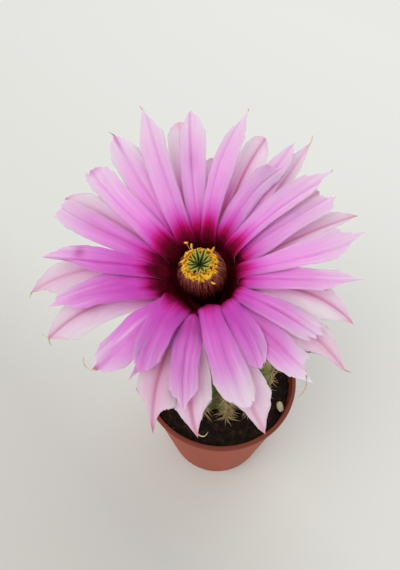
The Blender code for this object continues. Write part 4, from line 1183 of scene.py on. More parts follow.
def bladeSpot(petal, outer, seed, run, t, share):
    # one point of a petal's middle surface, with what the materials need there
    bearing, _, level, turn, plus, minus, end, _, (foldPlace, foldDepth), lift = petal
    s = petalRelief
    drop, start, length = run
    near = smooth(0.5 - 0.9 * math.sin(math.radians(bearing)))      # 1 on the side towards the viewer
    crown = mixed(*petalLayers["crown"], near) if level < petalLayers["outerLevel"] else s["outerCrown"]
    hollow = s["outerHollow"] if outer else s["hollow"]
    edge = abs(t)
    lost = straightThrough(petalEnds[end], (t + 1) / 2)
    tooth = s["notches"] * noise.noise(Vector((t * 5, seed, 1.0)))
    tooth += s["teeth"] * abs(noise.noise(Vector((t * 9, seed, 5.0))))
    tooth *= edge ** 0.5 * (s["outerTeeth"] if outer else 1.0)
    distance = (length - lost * share ** 4 - tooth * share ** 12) * share
    free = (distance - start) / (length - start)
    half = throughPoints(plus if t > 0 else minus, free)
    half = mixed(half, 0.5 * (plus[0] + minus[0]), smooth(-free * 3)) * mixed(1.0, 0.92, smooth(-free * 4))
    half *= 1 + s["wander"] * noise.noise(Vector((free * 4, seed, 3 if t > 0 else 8))) * smooth(free * 3)
    ragged = noise.noise(Vector((free * 15, seed, 6 if t > 0 else 2)))
    half *= 1 + s["ragged"] * ragged * smooth((free - 0.3) / 0.5)
    travelled = distance / length
    middle = bearing + turn * travelled * travelled
    radius = petalSpot(distance, middle, drop)[0]
    side = math.degrees(math.atan2(t * half, radius))
    far = math.hypot(radius, t * half) - radius
    radius, height, (lean, up) = petalSpot(distance, middle + side, drop)
    angle = math.radians(middle + side)
    radial = Vector((math.cos(angle), math.sin(angle), 0))
    normal = Vector((lean * radial.x, lean * radial.y, up))
    # convex over the shoulder, then hollow, with folds and a wavy edge towards the end
    shoulder = math.exp(-((free - 0.02) / 0.25) ** 2)
    cup = (hollow * smooth((free - 0.1) / 0.5) - crown * shoulder) * half * edge ** 1.6
    folds = s["folds"][0] * noise.noise(Vector((t * 3.1, travelled * 1.3, seed)))
    folds += s["folds"][1] * noise.noise(Vector((t * 9, travelled * 2.5, seed + 9)))
    fold = foldDepth * math.exp(-((t - foldPlace) / s["foldWidth"]) ** 2) * smooth((free - 0.05) / 0.5)
    wave = s["edgeWave"] * edge ** 3 * noise.noise(Vector((travelled * 5.5, seed + (4 if t > 0 else 0), 2.0)))
    curl = lift * smooth((free - 0.6) / 0.4) ** 2
    offset = cup + folds * smooth(travelled * 4) - fold + wave * smooth((free - 0.15) / 0.5) + curl
    depthIn = max(-height - 0.2, 0.0) if radius < 12 else 0.0
    spot = (radius + far) * radial + Vector((0, 0, height)) + offset * normal
    # the dark of the throat runs further out on the left and at the back than on the right and in front
    leftwards, backwards = -math.cos(math.radians(bearing)), math.sin(math.radians(bearing))
    darker = s["darkLeft"] * max(leftwards, 0.0) ** 3 + s["lessRight"] * min(leftwards, 0.0)
    darker += s["lessFront"] * min(backwards, 0.0)
    # on the outer petals at the back this is painted light: pinker where the petals above shade them
    darker += (s["outerBackPaintedPink"] if outer else s["darkBack"]) * max(backwards, 0.0)
    return spot, normal, min(max(radius - 0.6 * depthIn - darker, 0.0) / petalLayers["rampEnd"], 1.0), free


def petalSeed(outer, number):
    return number * 3.7 + (50 if outer else 0)


def foldNear(t, place):
    return math.exp(-((t - place) / 0.1) ** 2)


def petalBlade(petal, outer, number, marks):
    # the two faces of one petal, with its own coordinates and what its material reads at each point
    depth, (foldPlace, foldDepth) = petal[7], petal[8]
    s = petalLayers
    rows, columns = s["rows"], s["columns"]
    run, seed = petalRun(petal, outer), petalSeed(outer, number)
    top, bottom, values = [], [], []
    for row in range(rows):
        share = (row / (rows - 1)) ** 0.92
        for column in range(columns):
            t = 2 * column / (columns - 1) - 1
            spot, normal, reach, free = bladeSpot(petal, outer, seed, run, t, share)
            thick = mixed(s["thickness"][0], s["thickness"][1], abs(t) ** 2.5)
            thick *= mixed(1.0, 0.45, smooth((free - 0.3) / 0.6))
            top.append(spot + 0.5 * thick * normal)
            bottom.append(spot - 0.5 * thick * normal)
            mark = sum(strength * math.exp(-((t - across) / wide) ** 2 - ((free - up) / tall) ** 2)
                       for across, up, wide, tall, strength in marks)
            values.append((reach, depth, foldNear(t, foldPlace) * foldDepth, seed, mark))
    points = top + bottom
    uv = [(c / (columns - 1), r / (rows - 1)) for r in range(rows) for c in range(columns)] * 2
    return points, bladeFaces(rows, columns, len(top)), uv, values * 2, [0.0] * len(top) + [1.0] * len(top)


def makePetals(name, petals, outer, material, cup):
    # the cup or ring that they grow from comes first
    sides = petalLayers["cupSides"]
    points = [p for r, h in cup["outline"] for p in circlePoints(r, h, sides)]
    faces = ringFaces(len(cup["outline"]), sides, cup["closed"])
    count = len(points)
    uv = [(0.5, 0.0)] * count
    columns = [[value] * count for value in (cup["reach"] / petalLayers["rampEnd"], cup["depth"], 0.0, 1.0, 0.0)]
    under = [0.0] * count
    for number, petal in enumerate(petals):
        marks = [mark[1:] for mark in petalMarks[name] if mark[0] == petal[0]]
        made, blade, madeUv, values, below = petalBlade(petal, outer, number, marks)
        start = len(points)
        points += made
        faces += [tuple(start + i for i in face) for face in blade]
        uv += madeUv
        under += below
        for column, more in zip(columns, zip(*values)):
            column.extend(more)
    attributes = dict(zip(("reach", "depth", "fold", "petalSeed", "mark"), columns), under=under)
    return newPiece(name, points, faces, material, 50, attributes, uv, leaned)


def makeThreads(name, petals, outer, material):
    # thin tapered tubes bowed from the petals' tips
    s = threadSizes
    points, faces = [], []
    for bearing, across, share, ahead, aside, above, bow in petalThreads[name]:
        number = [petal[0] for petal in petals].index(bearing)
        petal, seed = petals[number], petalSeed(outer, number)
        run = petalRun(petal, outer)
        foot, normal = bladeSpot(petal, outer, seed, run, across, share)[:2]
        before = bladeSpot(petal, outer, seed, run, across, share - s["lookBack"])[0]
        onward = (foot - before).normalized()
        sideways = normal.cross(onward).normalized()
        tip = foot + ahead * onward + aside * sideways + above * normal
        bowed = (foot + tip) / 2 + bow * onward
        start = len(points)
        points += bentTube(foot, bowed, tip, normal, s["radius"], s["sides"], s["steps"])
        faces += [tuple(start + i for i in face) for face in ringFaces(s["steps"], s["sides"])]
    return newPiece(name + "Threads", points, faces, material, 60, place=leaned)


def petalCoordinates(tree):
    # across, along and a number that sets each petal's pattern apart; nearness to the edge; along alone
    split = addNode(tree, "ShaderNodeSeparateXYZ", {"Vector": addNode(tree, "ShaderNodeUVMap", uv_map="petalUv")})
    seed = addNode(tree, "ShaderNodeAttribute", attribute_name="petalSeed").outputs["Fac"]
    whole = addNode(tree, "ShaderNodeCombineXYZ", {0: split.outputs[0], 1: split.outputs[1], 2: seed})
    offset = addNode(tree, "ShaderNodeMath", {0: split.outputs[0], 1: 0.5}, operation="SUBTRACT")
    offset = addNode(tree, "ShaderNodeMath", {0: offset}, operation="ABSOLUTE")
    edge = addNode(tree, "ShaderNodeMath", {0: offset, 1: 2.0}, operation="MULTIPLY")
    return whole, edge.outputs[0], split.outputs[1]


def petalMaterial():
    # living petal tissue: thin, silky, translucent; maroon in the throat, magenta then pink outwards
    made, tree, shader = newMaterial("petalTissue", IOR=1.4, Specular_IOR_Level=0.05, Subsurface_Weight=0.85,
                                     Subsurface_Scale=0.002)
    shader.inputs["Subsurface Radius"].default_value = (1.0, 0.5, 0.8)
    whole, edge, _ = petalCoordinates(tree)
    reach, depth, fold, mark, under = [
        addNode(tree, "ShaderNodeAttribute", attribute_name=name).outputs["Fac"]
        for name in ("reach", "depth", "fold", "mark", "under")]
    # streaks about 0.8 mm wide that run the petal's length
    wide = addNode(tree, "ShaderNodeMapping", {"Vector": whole, "Scale": (7, 1.6, 1)})
    streak = addNode(tree, "ShaderNodeTexNoise", {"Vector": wide, "Scale": 1.0, "Detail": 3.0}).outputs["Fac"]
    narrow = addNode(tree, "ShaderNodeMapping", {"Vector": whole, "Scale": (58, 5, 1)})
    vein = addNode(tree, "ShaderNodeTexNoise", {"Vector": narrow, "Scale": 1.0, "Detail": 2.0}).outputs["Fac"]
    # the dark of the throat runs further up the middle of each petal
    tongue = addNode(tree, "ShaderNodeMath", {0: edge, 1: 2.0}, operation="POWER")
    tongue = addNode(tree, "ShaderNodeMath", {0: tongue, 1: 0.045, 2: -0.03}, operation="MULTIPLY_ADD")
    shift = addNode(tree, "ShaderNodeMath", {0: streak, 1: 0.07, 2: -0.035}, operation="MULTIPLY_ADD")
    place = addNode(tree, "ShaderNodeMath", {0: reach, 1: tongue}, operation="ADD")
    place = addNode(tree, "ShaderNodeMath", {0: place, 1: shift}, operation="ADD")
    # the first stop is lighter than the next: painted light that lifts the shade deep in the throat
    pale = addNode(tree, "ShaderNodeValToRGB", {"Fac": place}, stops=[
        (0.06, "#6a0c1c"), (0.15, "#430313"), (0.20, "#740329"), (0.235, "#ae0657"), (0.265, "#cf339f"),
        (0.305, "#e26fcc"), (0.37, "#ee9be0"), (0.52, "#edade2"), (0.68, "#e6b3db"), (0.80, "#e2bddc"),
        (0.94, "#dcbdd6")])
    rich = addNode(tree, "ShaderNodeValToRGB", {"Fac": place}, stops=[
        (0.06, "#6a0c1c"), (0.15, "#430313"), (0.195, "#78073b"), (0.225, "#b62388"), (0.27, "#c64ab3"),
        (0.34, "#c252b6"), (0.46, "#c96abf"), (0.57, "#ce81c6"), (0.68, "#d9a4d2"), (0.80, "#e0bcda")])
    # depth of colour: partly each petal's own, partly painted shade on the petals towards the viewer
    base = addNode(tree, "ShaderNodeMix", {0: depth, 6: pale, 7: rich}, data_type="RGBA")
    # finer veins deepen the colour a little;
    # painted shade along each edge, where petals overlap, and in the fold's crease deepens it too
    lines = addNode(tree, "ShaderNodeMapRange", {"Value": vein, "From Min": 0.4, "From Max": 0.65, "To Max": 0.16})
    rim = addNode(tree, "ShaderNodeMapRange", {"Value": edge, "From Min": 0.91, "From Max": 1.0, "To Max": 0.4})
    creaseShade = addNode(tree, "ShaderNodeMath", {0: fold, 1: 0.8}, operation="MULTIPLY")
    veinsAndPaintedShade = addNode(tree, "ShaderNodeMath", {0: lines.outputs[0], 1: rim.outputs[0]}, operation="ADD")
    veinsAndPaintedShade = addNode(tree, "ShaderNodeMath", {0: veinsAndPaintedShade, 1: creaseShade}, operation="ADD", use_clamp=True)
    deep = addNode(tree, "ShaderNodeMix", {0: 1.0, 6: base.outputs[2], 7: colour("#d88fcf")}, data_type="RGBA",
                   blend_type="MULTIPLY")
    tinted = addNode(tree, "ShaderNodeMix", {0: veinsAndPaintedShade, 6: base.outputs[2], 7: deep.outputs[2]}, data_type="RGBA")
    # painted highlight: silky streaks lightened as if they catch the light
    paintedHighlight = addNode(tree, "ShaderNodeMapRange", {"Value": streak, "From Min": 0.5, "From Max": 0.75, "To Max": 0.3})
    clear = addNode(tree, "ShaderNodeMapRange", {"Value": reach, "From Min": 0.34, "From Max": 0.6})
    paintedHighlight = addNode(tree, "ShaderNodeMath", {0: paintedHighlight, 1: clear}, operation="MULTIPLY")
    tinted = addNode(tree, "ShaderNodeMix", {0: paintedHighlight, 6: tinted.outputs[2], 7: colour("#f6d2f0")},
                     data_type="RGBA")
    # stains, turned-over tips and painted shade are purple; marks below 0 are pale streaks, one a painted highlight
    stainAndShade = addNode(tree, "ShaderNodeMapRange", {"Value": mark, "To Max": 0.75})
    tinted = addNode(tree, "ShaderNodeMix", {0: stainAndShade, 6: tinted.outputs[2], 7: colour("#86306e")}, data_type="RGBA")
    paleMark = addNode(tree, "ShaderNodeMapRange", {"Value": mark, "From Max": -1.0})
    tinted = addNode(tree, "ShaderNodeMix", {0: paleMark, 6: tinted.outputs[2], 7: colour("#f0d4ec")},
                     data_type="RGBA")
    # the back of a petal is paler and greyer
    back = addNode(tree, "ShaderNodeMath", {0: under, 1: 0.45}, operation="MULTIPLY")
    backed = addNode(tree, "ShaderNodeMix", {0: back, 6: tinted.outputs[2], 7: colour("#e3bcd8")}, data_type="RGBA")
    gloss = addNode(tree, "ShaderNodeMapRange", {"Value": streak, "To Min": 0.55, "To Max": 0.75})
    height = addNode(tree, "ShaderNodeMath", {0: vein, 1: 0.4, 2: streak}, operation="MULTIPLY_ADD")
    bump = addNode(tree, "ShaderNodeBump", {"Height": height, "Strength": 0.35, "Distance": 0.0003})
    feed(tree, shader, Base_Color=backed.outputs[2], Roughness=gloss, Normal=bump)
    return made


def outerMaterial():
    # outer petals: thicker and whiter, with a rosy brown stripe down the middle
    made, tree, shader = newMaterial("sepalTissue", IOR=1.4, Specular_IOR_Level=0.15, Subsurface_Weight=0.85,
                                     Subsurface_Scale=0.002)
    shader.inputs["Subsurface Radius"].default_value = (1.0, 0.6, 0.8)
    whole, edge, lengthwise = petalCoordinates(tree)
    reach, stripe, mark, under = [addNode(tree, "ShaderNodeAttribute", attribute_name=name).outputs["Fac"]
                                  for name in ("reach", "depth", "mark", "under")]
    wide = addNode(tree, "ShaderNodeMapping", {"Vector": whole, "Scale": (11, 2.0, 1)})
    streak = addNode(tree, "ShaderNodeTexNoise", {"Vector": wide, "Scale": 1.0, "Detail": 3.0}).outputs["Fac"]
    narrow = addNode(tree, "ShaderNodeMapping", {"Vector": whole, "Scale": (52, 5, 1)})
    vein = addNode(tree, "ShaderNodeTexNoise", {"Vector": narrow, "Scale": 1.0, "Detail": 2.0}).outputs["Fac"]
    shift = addNode(tree, "ShaderNodeMath", {0: streak, 1: 0.16, 2: -0.08}, operation="MULTIPLY_ADD")
    place = addNode(tree, "ShaderNodeMath", {0: reach, 1: shift}, operation="ADD")
    base = addNode(tree, "ShaderNodeValToRGB", {"Fac": place}, stops=[
        (0.08, "#a47a66"), (0.20, "#bc72a0"), (0.28, "#da8ac6"), (0.38, "#ebb8de"), (0.5, "#e8c2dc"),
        (0.62, "#e5c3d9"), (0.8, "#dcb8cd"), (0.92, "#d8b4c4")])
    # the stripe: a soft band round a narrow dark line
    ragged = addNode(tree, "ShaderNodeMath", {0: streak, 1: 0.12, 2: -0.06}, operation="MULTIPLY_ADD")
    offset = addNode(tree, "ShaderNodeMath", {0: edge, 1: ragged}, operation="ADD")
    band = addNode(tree, "ShaderNodeMapRange", {"Value": offset, "From Min": 0.42, "From Max": 0.02, "To Max": 0.55})
    core = addNode(tree, "ShaderNodeMapRange", {"Value": offset, "From Min": 0.15, "From Max": 0.03, "To Max": 0.6})
    inkSoft = addNode(tree, "ShaderNodeMath", {0: band.outputs[0], 1: stripe}, operation="MULTIPLY")
    inkHard = addNode(tree, "ShaderNodeMath", {0: core.outputs[0], 1: stripe}, operation="MULTIPLY")
    flushed = addNode(tree, "ShaderNodeMix", {0: inkSoft, 6: base, 7: colour("#c78fb4")}, data_type="RGBA")
    striped = addNode(tree, "ShaderNodeMix", {0: inkHard, 6: flushed.outputs[2], 7: colour("#a86070")},
                      data_type="RGBA")
    tipTone = addNode(tree, "ShaderNodeMapRange", {
        "Value": lengthwise, "From Min": 0.93, "From Max": 1.0, "To Max": 0.4})
    tipped = addNode(tree, "ShaderNodeMix", {0: tipTone.outputs[0], 6: striped.outputs[2], 7: colour("#c08088")},
                     data_type="RGBA")
    lines = addNode(tree, "ShaderNodeMapRange", {"Value": vein, "From Min": 0.4, "From Max": 0.65, "To Max": 0.2})
    veined = addNode(tree, "ShaderNodeMix", {0: lines.outputs[0], 6: tipped.outputs[2], 7: colour("#c99ab4")},
                     data_type="RGBA")
    # stains darken, in places as painted shade; marks below 0 are paler
    stainAndShade = addNode(tree, "ShaderNodeMapRange", {"Value": mark, "To Max": 0.8})
    veined = addNode(tree, "ShaderNodeMix", {0: stainAndShade, 6: veined.outputs[2], 7: colour("#9a4f66")}, data_type="RGBA")
    paleMark = addNode(tree, "ShaderNodeMapRange", {"Value": mark, "From Max": -1.0})
    veined = addNode(tree, "ShaderNodeMix", {0: paleMark, 6: veined.outputs[2], 7: colour("#e9e0e6")},
                     data_type="RGBA")
    # behind, the stripe turns olive brown
    olive = addNode(tree, "ShaderNodeMath", {0: band.outputs[0], 1: under}, operation="MULTIPLY")
    backed = addNode(tree, "ShaderNodeMix", {0: olive, 6: veined.outputs[2], 7: colour("#8c7a58")}, data_type="RGBA")
    gloss = addNode(tree, "ShaderNodeMapRange", {"Value": streak, "To Min": 0.55, "To Max": 0.75})
    height = addNode(tree, "ShaderNodeMath", {0: vein, 1: 0.4, 2: streak}, operation="MULTIPLY_ADD")
    bump = addNode(tree, "ShaderNodeBump", {"Height": height, "Strength": 0.35, "Distance": 0.0003})
    feed(tree, shader, Base_Color=backed.outputs[2], Roughness=gloss, Normal=bump)
    return made


# What the petals grow from: its outline as distance out and height, and where its colour lies on the ramp
throatCup = {
    "outline": [(0.8, -17.2), (6.2, -17.2), (9.6, -12.5), (12.3, -8.5), (12.35, -5.2), (11.9, -4.2), (10.6, -4.3),
                (9.6, -5.6), (8.9, -7.4), (7.6, -12.0), (5.7, -15.5), (0.6, -15.5)],
    "closed": False, "reach": 4.0, "depth": 0.5,
}
outerRing = {
    "outline": [(12.95, -10.48), (14.5, -10.48), (14.8, -9.6), (14.95, -8.6), (14.8, -7.6), (14.2, -6.9),
                (13.5, -6.7), (12.95, -7.4)],
    "closed": True, "reach": 2.0, "depth": 0.0,
}


def threadMaterial():
    # withered petal tip: dry and straw-coloured, a little darker in places
    made, tree, shader = newMaterial("witheredTip", Roughness=0.65, Specular_IOR_Level=0.25)
    place = addNode(tree, "ShaderNodeTexCoord").outputs["Object"]
    uneven = addNode(tree, "ShaderNodeTexNoise", {"Vector": place, "Scale": 700.0, "Detail": 2.0})
    tones = addNode(tree, "ShaderNodeValToRGB", {"Fac": uneven.outputs["Fac"]},
                    stops=[(0.35, "#b0906c"), (0.65, "#dcc8a4")])
    feed(tree, shader, Base_Color=tones)
    return made


withered = threadMaterial()
for name, petals, outside, material, base, node, slot in (
        ("innerPetals", innerPetals, False, petalMaterial(), throatCup, "inner_petals", "inner_petal"),
        ("outerPetals", outerPetals, True, outerMaterial(), outerRing, "outer_petals", "outer_petal")):
    whorl = makePetals(name, petals, outside, material, base)
    settle(joinPieces(whorl, makeThreads(name, petals, outside, withered)), node)


# Stamens: a dome of fine filaments drawn in round the style, each with its anther

stamenSizes = {
    "low": -15.2,
    "high": 2.9,
    "domeRadius": 6.6,
    "filaments": 400,
    "filamentRadius": 0.15,
    "turn": 2.39996,            # radians from one filament to the next: the golden angle
    "coreTop": 2.4,
    "coreSteps": 16,
    "coreSides": 180,
    "coreSpan": (-15.5, 3.6),   # heights between which the core bulges
    "bulge": (4.4, 2.2),        # its radius there, and how much wider it is in between
    "redRun": (100.0, 112.5),   # height over which the filaments turn from dark to light, in the whole plant
    "antherLength": 1.35,
    "antherWidth": 0.55,
    "steps": 18,
    # anthers that stand clear of the dome: to the right, to the back, above
    "stray": [(-3.4, 5.7, 5.0), (-2.0, 4.8, 4.6), (-2.1, 3.6, 4.0), (-3.3, 3.1, 4.0), (3.6, 3.8, 4.0),
              (3.3, -5.0, 2.0)],
    "strayRadius": 0.11,
}


def stamenRadius(height):
    low, high = stamenSizes["coreSpan"]
    share = (height - low) / (high - low)
    return stamenSizes["bulge"][0] + stamenSizes["bulge"][1] * math.sin(math.pi * share ** 1.8)


def stamenTree():
    # filaments set round the axis by the golden angle, bowed out and drawn in at the top
    tree, given, result = newTree("stamenSheaf", [
        ("Count", "Int"), ("Steps", "Int"), ("Turn", "Float"), ("Thickness", "Float"), ("Bulge", "Float"),
        ("Low", "Float"), ("High", "Float"), ("Anther", "Object"), ("Filament Material", "Material"),
        ("Anther Material", "Material"), ("Seed", "Int")])
    spots = addNode(tree, "GeometryNodePoints", {"Count": given["Count"]})
    line = addNode(tree, "GeometryNodeCurvePrimitiveLine", {"Start": (0, 0, 0), "End": (0, 0, 0.01)})
    line = addNode(tree, "GeometryNodeResampleCurve", {"Curve": line, "Count": given["Steps"]})
    lines = addNode(tree, "GeometryNodeInstanceOnPoints", {"Points": spots, "Instance": line})
    lines = addNode(tree, "GeometryNodeRealizeInstances", {"Geometry": lines})
    number = addNode(tree, "GeometryNodeFieldOnDomain", {0: addNode(tree, "GeometryNodeInputIndex")},
                     domain="CURVE", data_type="INT")
    share = addNode(tree, "GeometryNodeSplineParameter").outputs["Factor"]
    turn = addNode(tree, "FunctionNodeRandomValue", {2: -0.06, 3: 0.06, "ID": number, "Seed": given["Seed"]},
                   data_type="FLOAT")
    sway = addNode(tree, "FunctionNodeRandomValue", {2: -0.35, 3: 0.35, "ID": number, "Seed": 3}, data_type="FLOAT")
    inward = addNode(tree, "FunctionNodeRandomValue", {2: 0.0, 3: 1.0, "ID": number, "Seed": 5}, data_type="FLOAT")
    tall = addNode(tree, "FunctionNodeRandomValue", {2: 0.92, 3: 1.05, "ID": number, "Seed": 8}, data_type="FLOAT")
    bearing = addNode(tree, "ShaderNodeMath", {0: number, 1: given["Turn"], 2: turn.outputs[1]},
                      operation="MULTIPLY_ADD")
    late = addNode(tree, "ShaderNodeMath", {0: share, 1: 2.0}, operation="POWER")
    bearing = addNode(tree, "ShaderNodeMath", {0: sway.outputs[1], 1: late, 2: bearing}, operation="MULTIPLY_ADD")
    # outer filaments follow the dome, the inner ones stand closer to the style
    bow = addNode(tree, "ShaderNodeFloatCurve", {"Value": share}, curve=[
        (0.0, 0.62), (0.2, 0.76), (0.42, 0.93), (0.62, 1.0), (0.78, 0.96), (0.9, 0.84), (1.0, 0.69)])
    depth = addNode(tree, "ShaderNodeMath", {0: inward.outputs[1], 1: 1.7}, operation="POWER")
    shrink = addNode(tree, "ShaderNodeMapRange", {"Value": depth, "To Min": 1.0, "To Max": 0.6})
    radius = addNode(tree, "ShaderNodeMath", {0: bow, 1: given["Bulge"]}, operation="MULTIPLY")
    radius = addNode(tree, "ShaderNodeMath", {0: radius, 1: shrink.outputs[0]}, operation="MULTIPLY")
    climb = addNode(tree, "ShaderNodeFloatCurve", {"Value": share}, curve=[
        (0.0, 0.0), (0.3, 0.33), (0.62, 0.69), (0.8, 0.86), (0.92, 0.95), (1.0, 1.0)])
    climb = addNode(tree, "ShaderNodeMath", {0: climb, 1: tall.outputs[1]}, operation="MULTIPLY")
    height = addNode(tree, "ShaderNodeMapRange", {"Value": climb, "To Min": given["Low"], "To Max": given["High"]},
                     clamp=False)
    x = addNode(tree, "ShaderNodeMath", {0: bearing}, operation="COSINE")
    x = addNode(tree, "ShaderNodeMath", {0: x, 1: radius}, operation="MULTIPLY")
    y = addNode(tree, "ShaderNodeMath", {0: bearing}, operation="SINE")
    y = addNode(tree, "ShaderNodeMath", {0: y, 1: radius}, operation="MULTIPLY")
    spot = addNode(tree, "ShaderNodeCombineXYZ", {0: x, 1: y, 2: height.outputs[0]})
    bowed = addNode(tree, "GeometryNodeSetPosition", {"Geometry": lines, "Position": spot})
    ends = addNode(tree, "GeometryNodeCurveEndpointSelection", {"Start Size": 0, "End Size": 1})
    profile = addNode(tree, "GeometryNodeCurvePrimitiveCircle", {"Resolution": 5, "Radius": given["Thickness"]})
    threads = addNode(tree, "GeometryNodeCurveToMesh", {"Curve": bowed, "Profile Curve": profile, "Fill Caps": True})
    threads = addNode(tree, "GeometryNodeSetMaterial", {"Geometry": threads, "Material": given["Filament Material"]})
    tangent = addNode(tree, "GeometryNodeInputTangent")
    scatter = addNode(tree, "FunctionNodeRandomValue", {
        0: (-1, -1, -0.3), 1: (1, 1, 0.9), "ID": number, "Seed": 14}, data_type="FLOAT_VECTOR")
    aim = addNode(tree, "ShaderNodeVectorMath", {0: tangent, 1: scatter.outputs[0]}, operation="ADD")
    rotation = addNode(tree, "FunctionNodeAlignRotationToVector", {"Vector": aim}, axis="Z")
    anther = addNode(tree, "GeometryNodeObjectInfo", {"Object": given["Anther"], "As Instance": True})
    size = addNode(tree, "FunctionNodeRandomValue", {2: 0.8, 3: 1.2, "ID": number, "Seed": 17}, data_type="FLOAT")
    sacs = addNode(tree, "GeometryNodeInstanceOnPoints", {
        "Points": bowed, "Selection": ends, "Instance": anther.outputs["Geometry"], "Rotation": rotation,
        "Scale": size.outputs[1]})
    sacs = addNode(tree, "GeometryNodeRealizeInstances", {"Geometry": sacs})
    sacs = addNode(tree, "GeometryNodeSetMaterial", {"Geometry": sacs, "Material": given["Anther Material"]})
    whole = tree.nodes.new("GeometryNodeJoinGeometry")
    tree.links.new(sacs.outputs[0], whole.inputs[0])
    tree.links.new(threads.outputs[0], whole.inputs[0])
    tree.links.new(whole.outputs[0], result["Geometry"])
    return tree


def antherMesh(material):
    # two pollen sacs side by side, a few dozen faces
    s = stamenSizes
    sides, steps, points = 8, 5, []
    for k in range(steps):
        share = k / (steps - 1)
        fat = math.sin(math.pi * (0.1 + 0.8 * share)) ** 0.6
        for i in range(sides):
            turn = 2 * math.pi * i / sides
            waist = 0.68 + 0.32 * abs(math.cos(turn))
            points.append((0.5 * s["antherWidth"] * fat * math.cos(turn) * 1.1,
                           0.5 * s["antherWidth"] * fat * math.sin(turn) * waist,
                           s["antherLength"] * (share - 0.5)))
    return newPiece("oneAnther", points, ringFaces(steps, sides), material, 180)


def strayStamens(anther, material):
    # a bent filament with its anther for each place
    made, sides, steps, radius = [], 6, 10, stamenSizes["strayRadius"]
    for number, place in enumerate(stamenSizes["stray"]):
        tip = Vector(place)
        level = Vector((tip.x, tip.y, 0)).normalized()
        foot = level * 3.6 + Vector((0, 0, 1.4))
        bowed = level * 4.2 + Vector((0, 0, max(tip.z - 0.6, 2.2)))
        points = bentTube(foot, bowed, tip, Vector((level.y, -level.x, 0)), (radius, radius), sides, steps)
        made.append(newPiece("strayFilament", points, ringFaces(steps, sides), material, 60, place=leaned))
        turned = Matrix.Rotation(1.2 + 1.9 * number, 4, "Z") @ Matrix.Rotation(1.1, 4, "X")
        mesh = anther.data.copy()
        mesh.transform(leaned @ Matrix.Translation(tip * mm) @ turned)
        made.append(addObject("strayAnther", mesh))
    return made


def makeStamens():
    # stamen filaments: fine, glossy, dark red, and a pinkish brown near their ends
    made, tree, shader = newMaterial("filamentTissue", Roughness=0.42, Specular_IOR_Level=0.4,
                                     Subsurface_Weight=0.2, Subsurface_Scale=0.0006)
    place = addNode(tree, "ShaderNodeTexCoord").outputs["Object"]
    height = addNode(tree, "ShaderNodeSeparateXYZ", {"Vector": place}).outputs["Z"]
    uneven = addNode(tree, "ShaderNodeTexNoise", {"Vector": place, "Scale": 900.0, "Detail": 2.0})
    rise = addNode(tree, "ShaderNodeMapRange", {
        "Value": height, "From Min": stamenSizes["redRun"][0] * mm, "From Max": stamenSizes["redRun"][1] * mm})
    shift = addNode(tree, "ShaderNodeMath", {0: uneven.outputs["Fac"], 1: 0.6, 2: -0.3}, operation="MULTIPLY_ADD")
    rise = addNode(tree, "ShaderNodeMath", {0: rise.outputs[0], 1: shift}, operation="ADD")
    # partly the filaments' own colour, partly painted shade low in the dome and light on its top
    tones = addNode(tree, "ShaderNodeValToRGB", {"Fac": rise},
                    stops=[(0.0, "#20040a"), (0.35, "#4a1012"), (0.65, "#7c352c"), (1.0, "#ac6a58")])
    feed(tree, shader, Base_Color=tones)

    # pollen: dry, powdery, golden
    pollen, tree, shader = newMaterial("pollenGrain", Roughness=0.8, Specular_IOR_Level=0.25, Subsurface_Weight=0.2,
                                       Subsurface_Scale=0.0005)
    place = addNode(tree, "ShaderNodeTexCoord").outputs["Object"]
    powder = addNode(tree, "ShaderNodeTexNoise", {"Vector": place, "Scale": 1500.0, "Detail": 3.0})
    tones = addNode(tree, "ShaderNodeValToRGB", {"Fac": powder.outputs["Fac"]},
                    stops=[(0.3, "#d08c10"), (0.5, "#ecb01c"), (0.7, "#fbd656")])
    bump = addNode(tree, "ShaderNodeBump", {"Height": powder.outputs["Fac"], "Strength": 0.5, "Distance": 0.0001})
    feed(tree, shader, Base_Color=tones, Normal=bump)

    # the inner filaments, as a closed body just inside the outer ones
    s = stamenSizes
    outline = []
    for k in range(s["coreSteps"] + 1):
        height = mixed(s["low"], s["coreTop"], k / s["coreSteps"])
        outline.append((stamenRadius(height) * 0.88 - 0.25, height))
    outline += [(3.2, 2.2), (2.1, 1.6), (2.0, 0.6), (2.0, s["low"])]
    points = []
    for radius, height in outline:
        for i, (x, y, z) in enumerate(circlePoints(radius, height, s["coreSides"])):
            ridge = 1 + 0.02 * noise.noise(Vector((i * 0.9, height * 0.2, 0)))
            points.append((x * ridge, y * ridge, z))
    core = newPiece("stamenDome", points, ringFaces(len(outline), s["coreSides"], True), made, 60, place=leaned)
    seedPoint = newPiece("sheafSeed", [(0, 0, 0)], [], None)
    anther = antherMesh(pollen)
    sheaf = grow(seedPoint, stamenTree(), {
        "Count": s["filaments"], "Steps": s["steps"], "Turn": s["turn"], "Thickness": s["filamentRadius"] * mm,
        "Bulge": s["domeRadius"] * mm, "Low": s["low"] * mm, "High": s["high"] * mm, "Anther": anther,
        "Filament Material": made, "Anther Material": pollen, "Seed": 1}, "stamenSheaf", leaned)
    stray = strayStamens(anther, made)
    discard(seedPoint, anther)
    core = joinPieces(core, sheaf, *stray)
    settle(core, "stamens")


# Style with its star of stigma lobes

styleSizes = {
    "radius": 1.2,
    "lobes": 11,
    "lobeLength": 3.7,
    "lobeRadius": 0.6,
    "lobeRun": 0.88,            # how far a lobe goes out and up, for each mm of its length
    "lobeRise": 0.55,
}


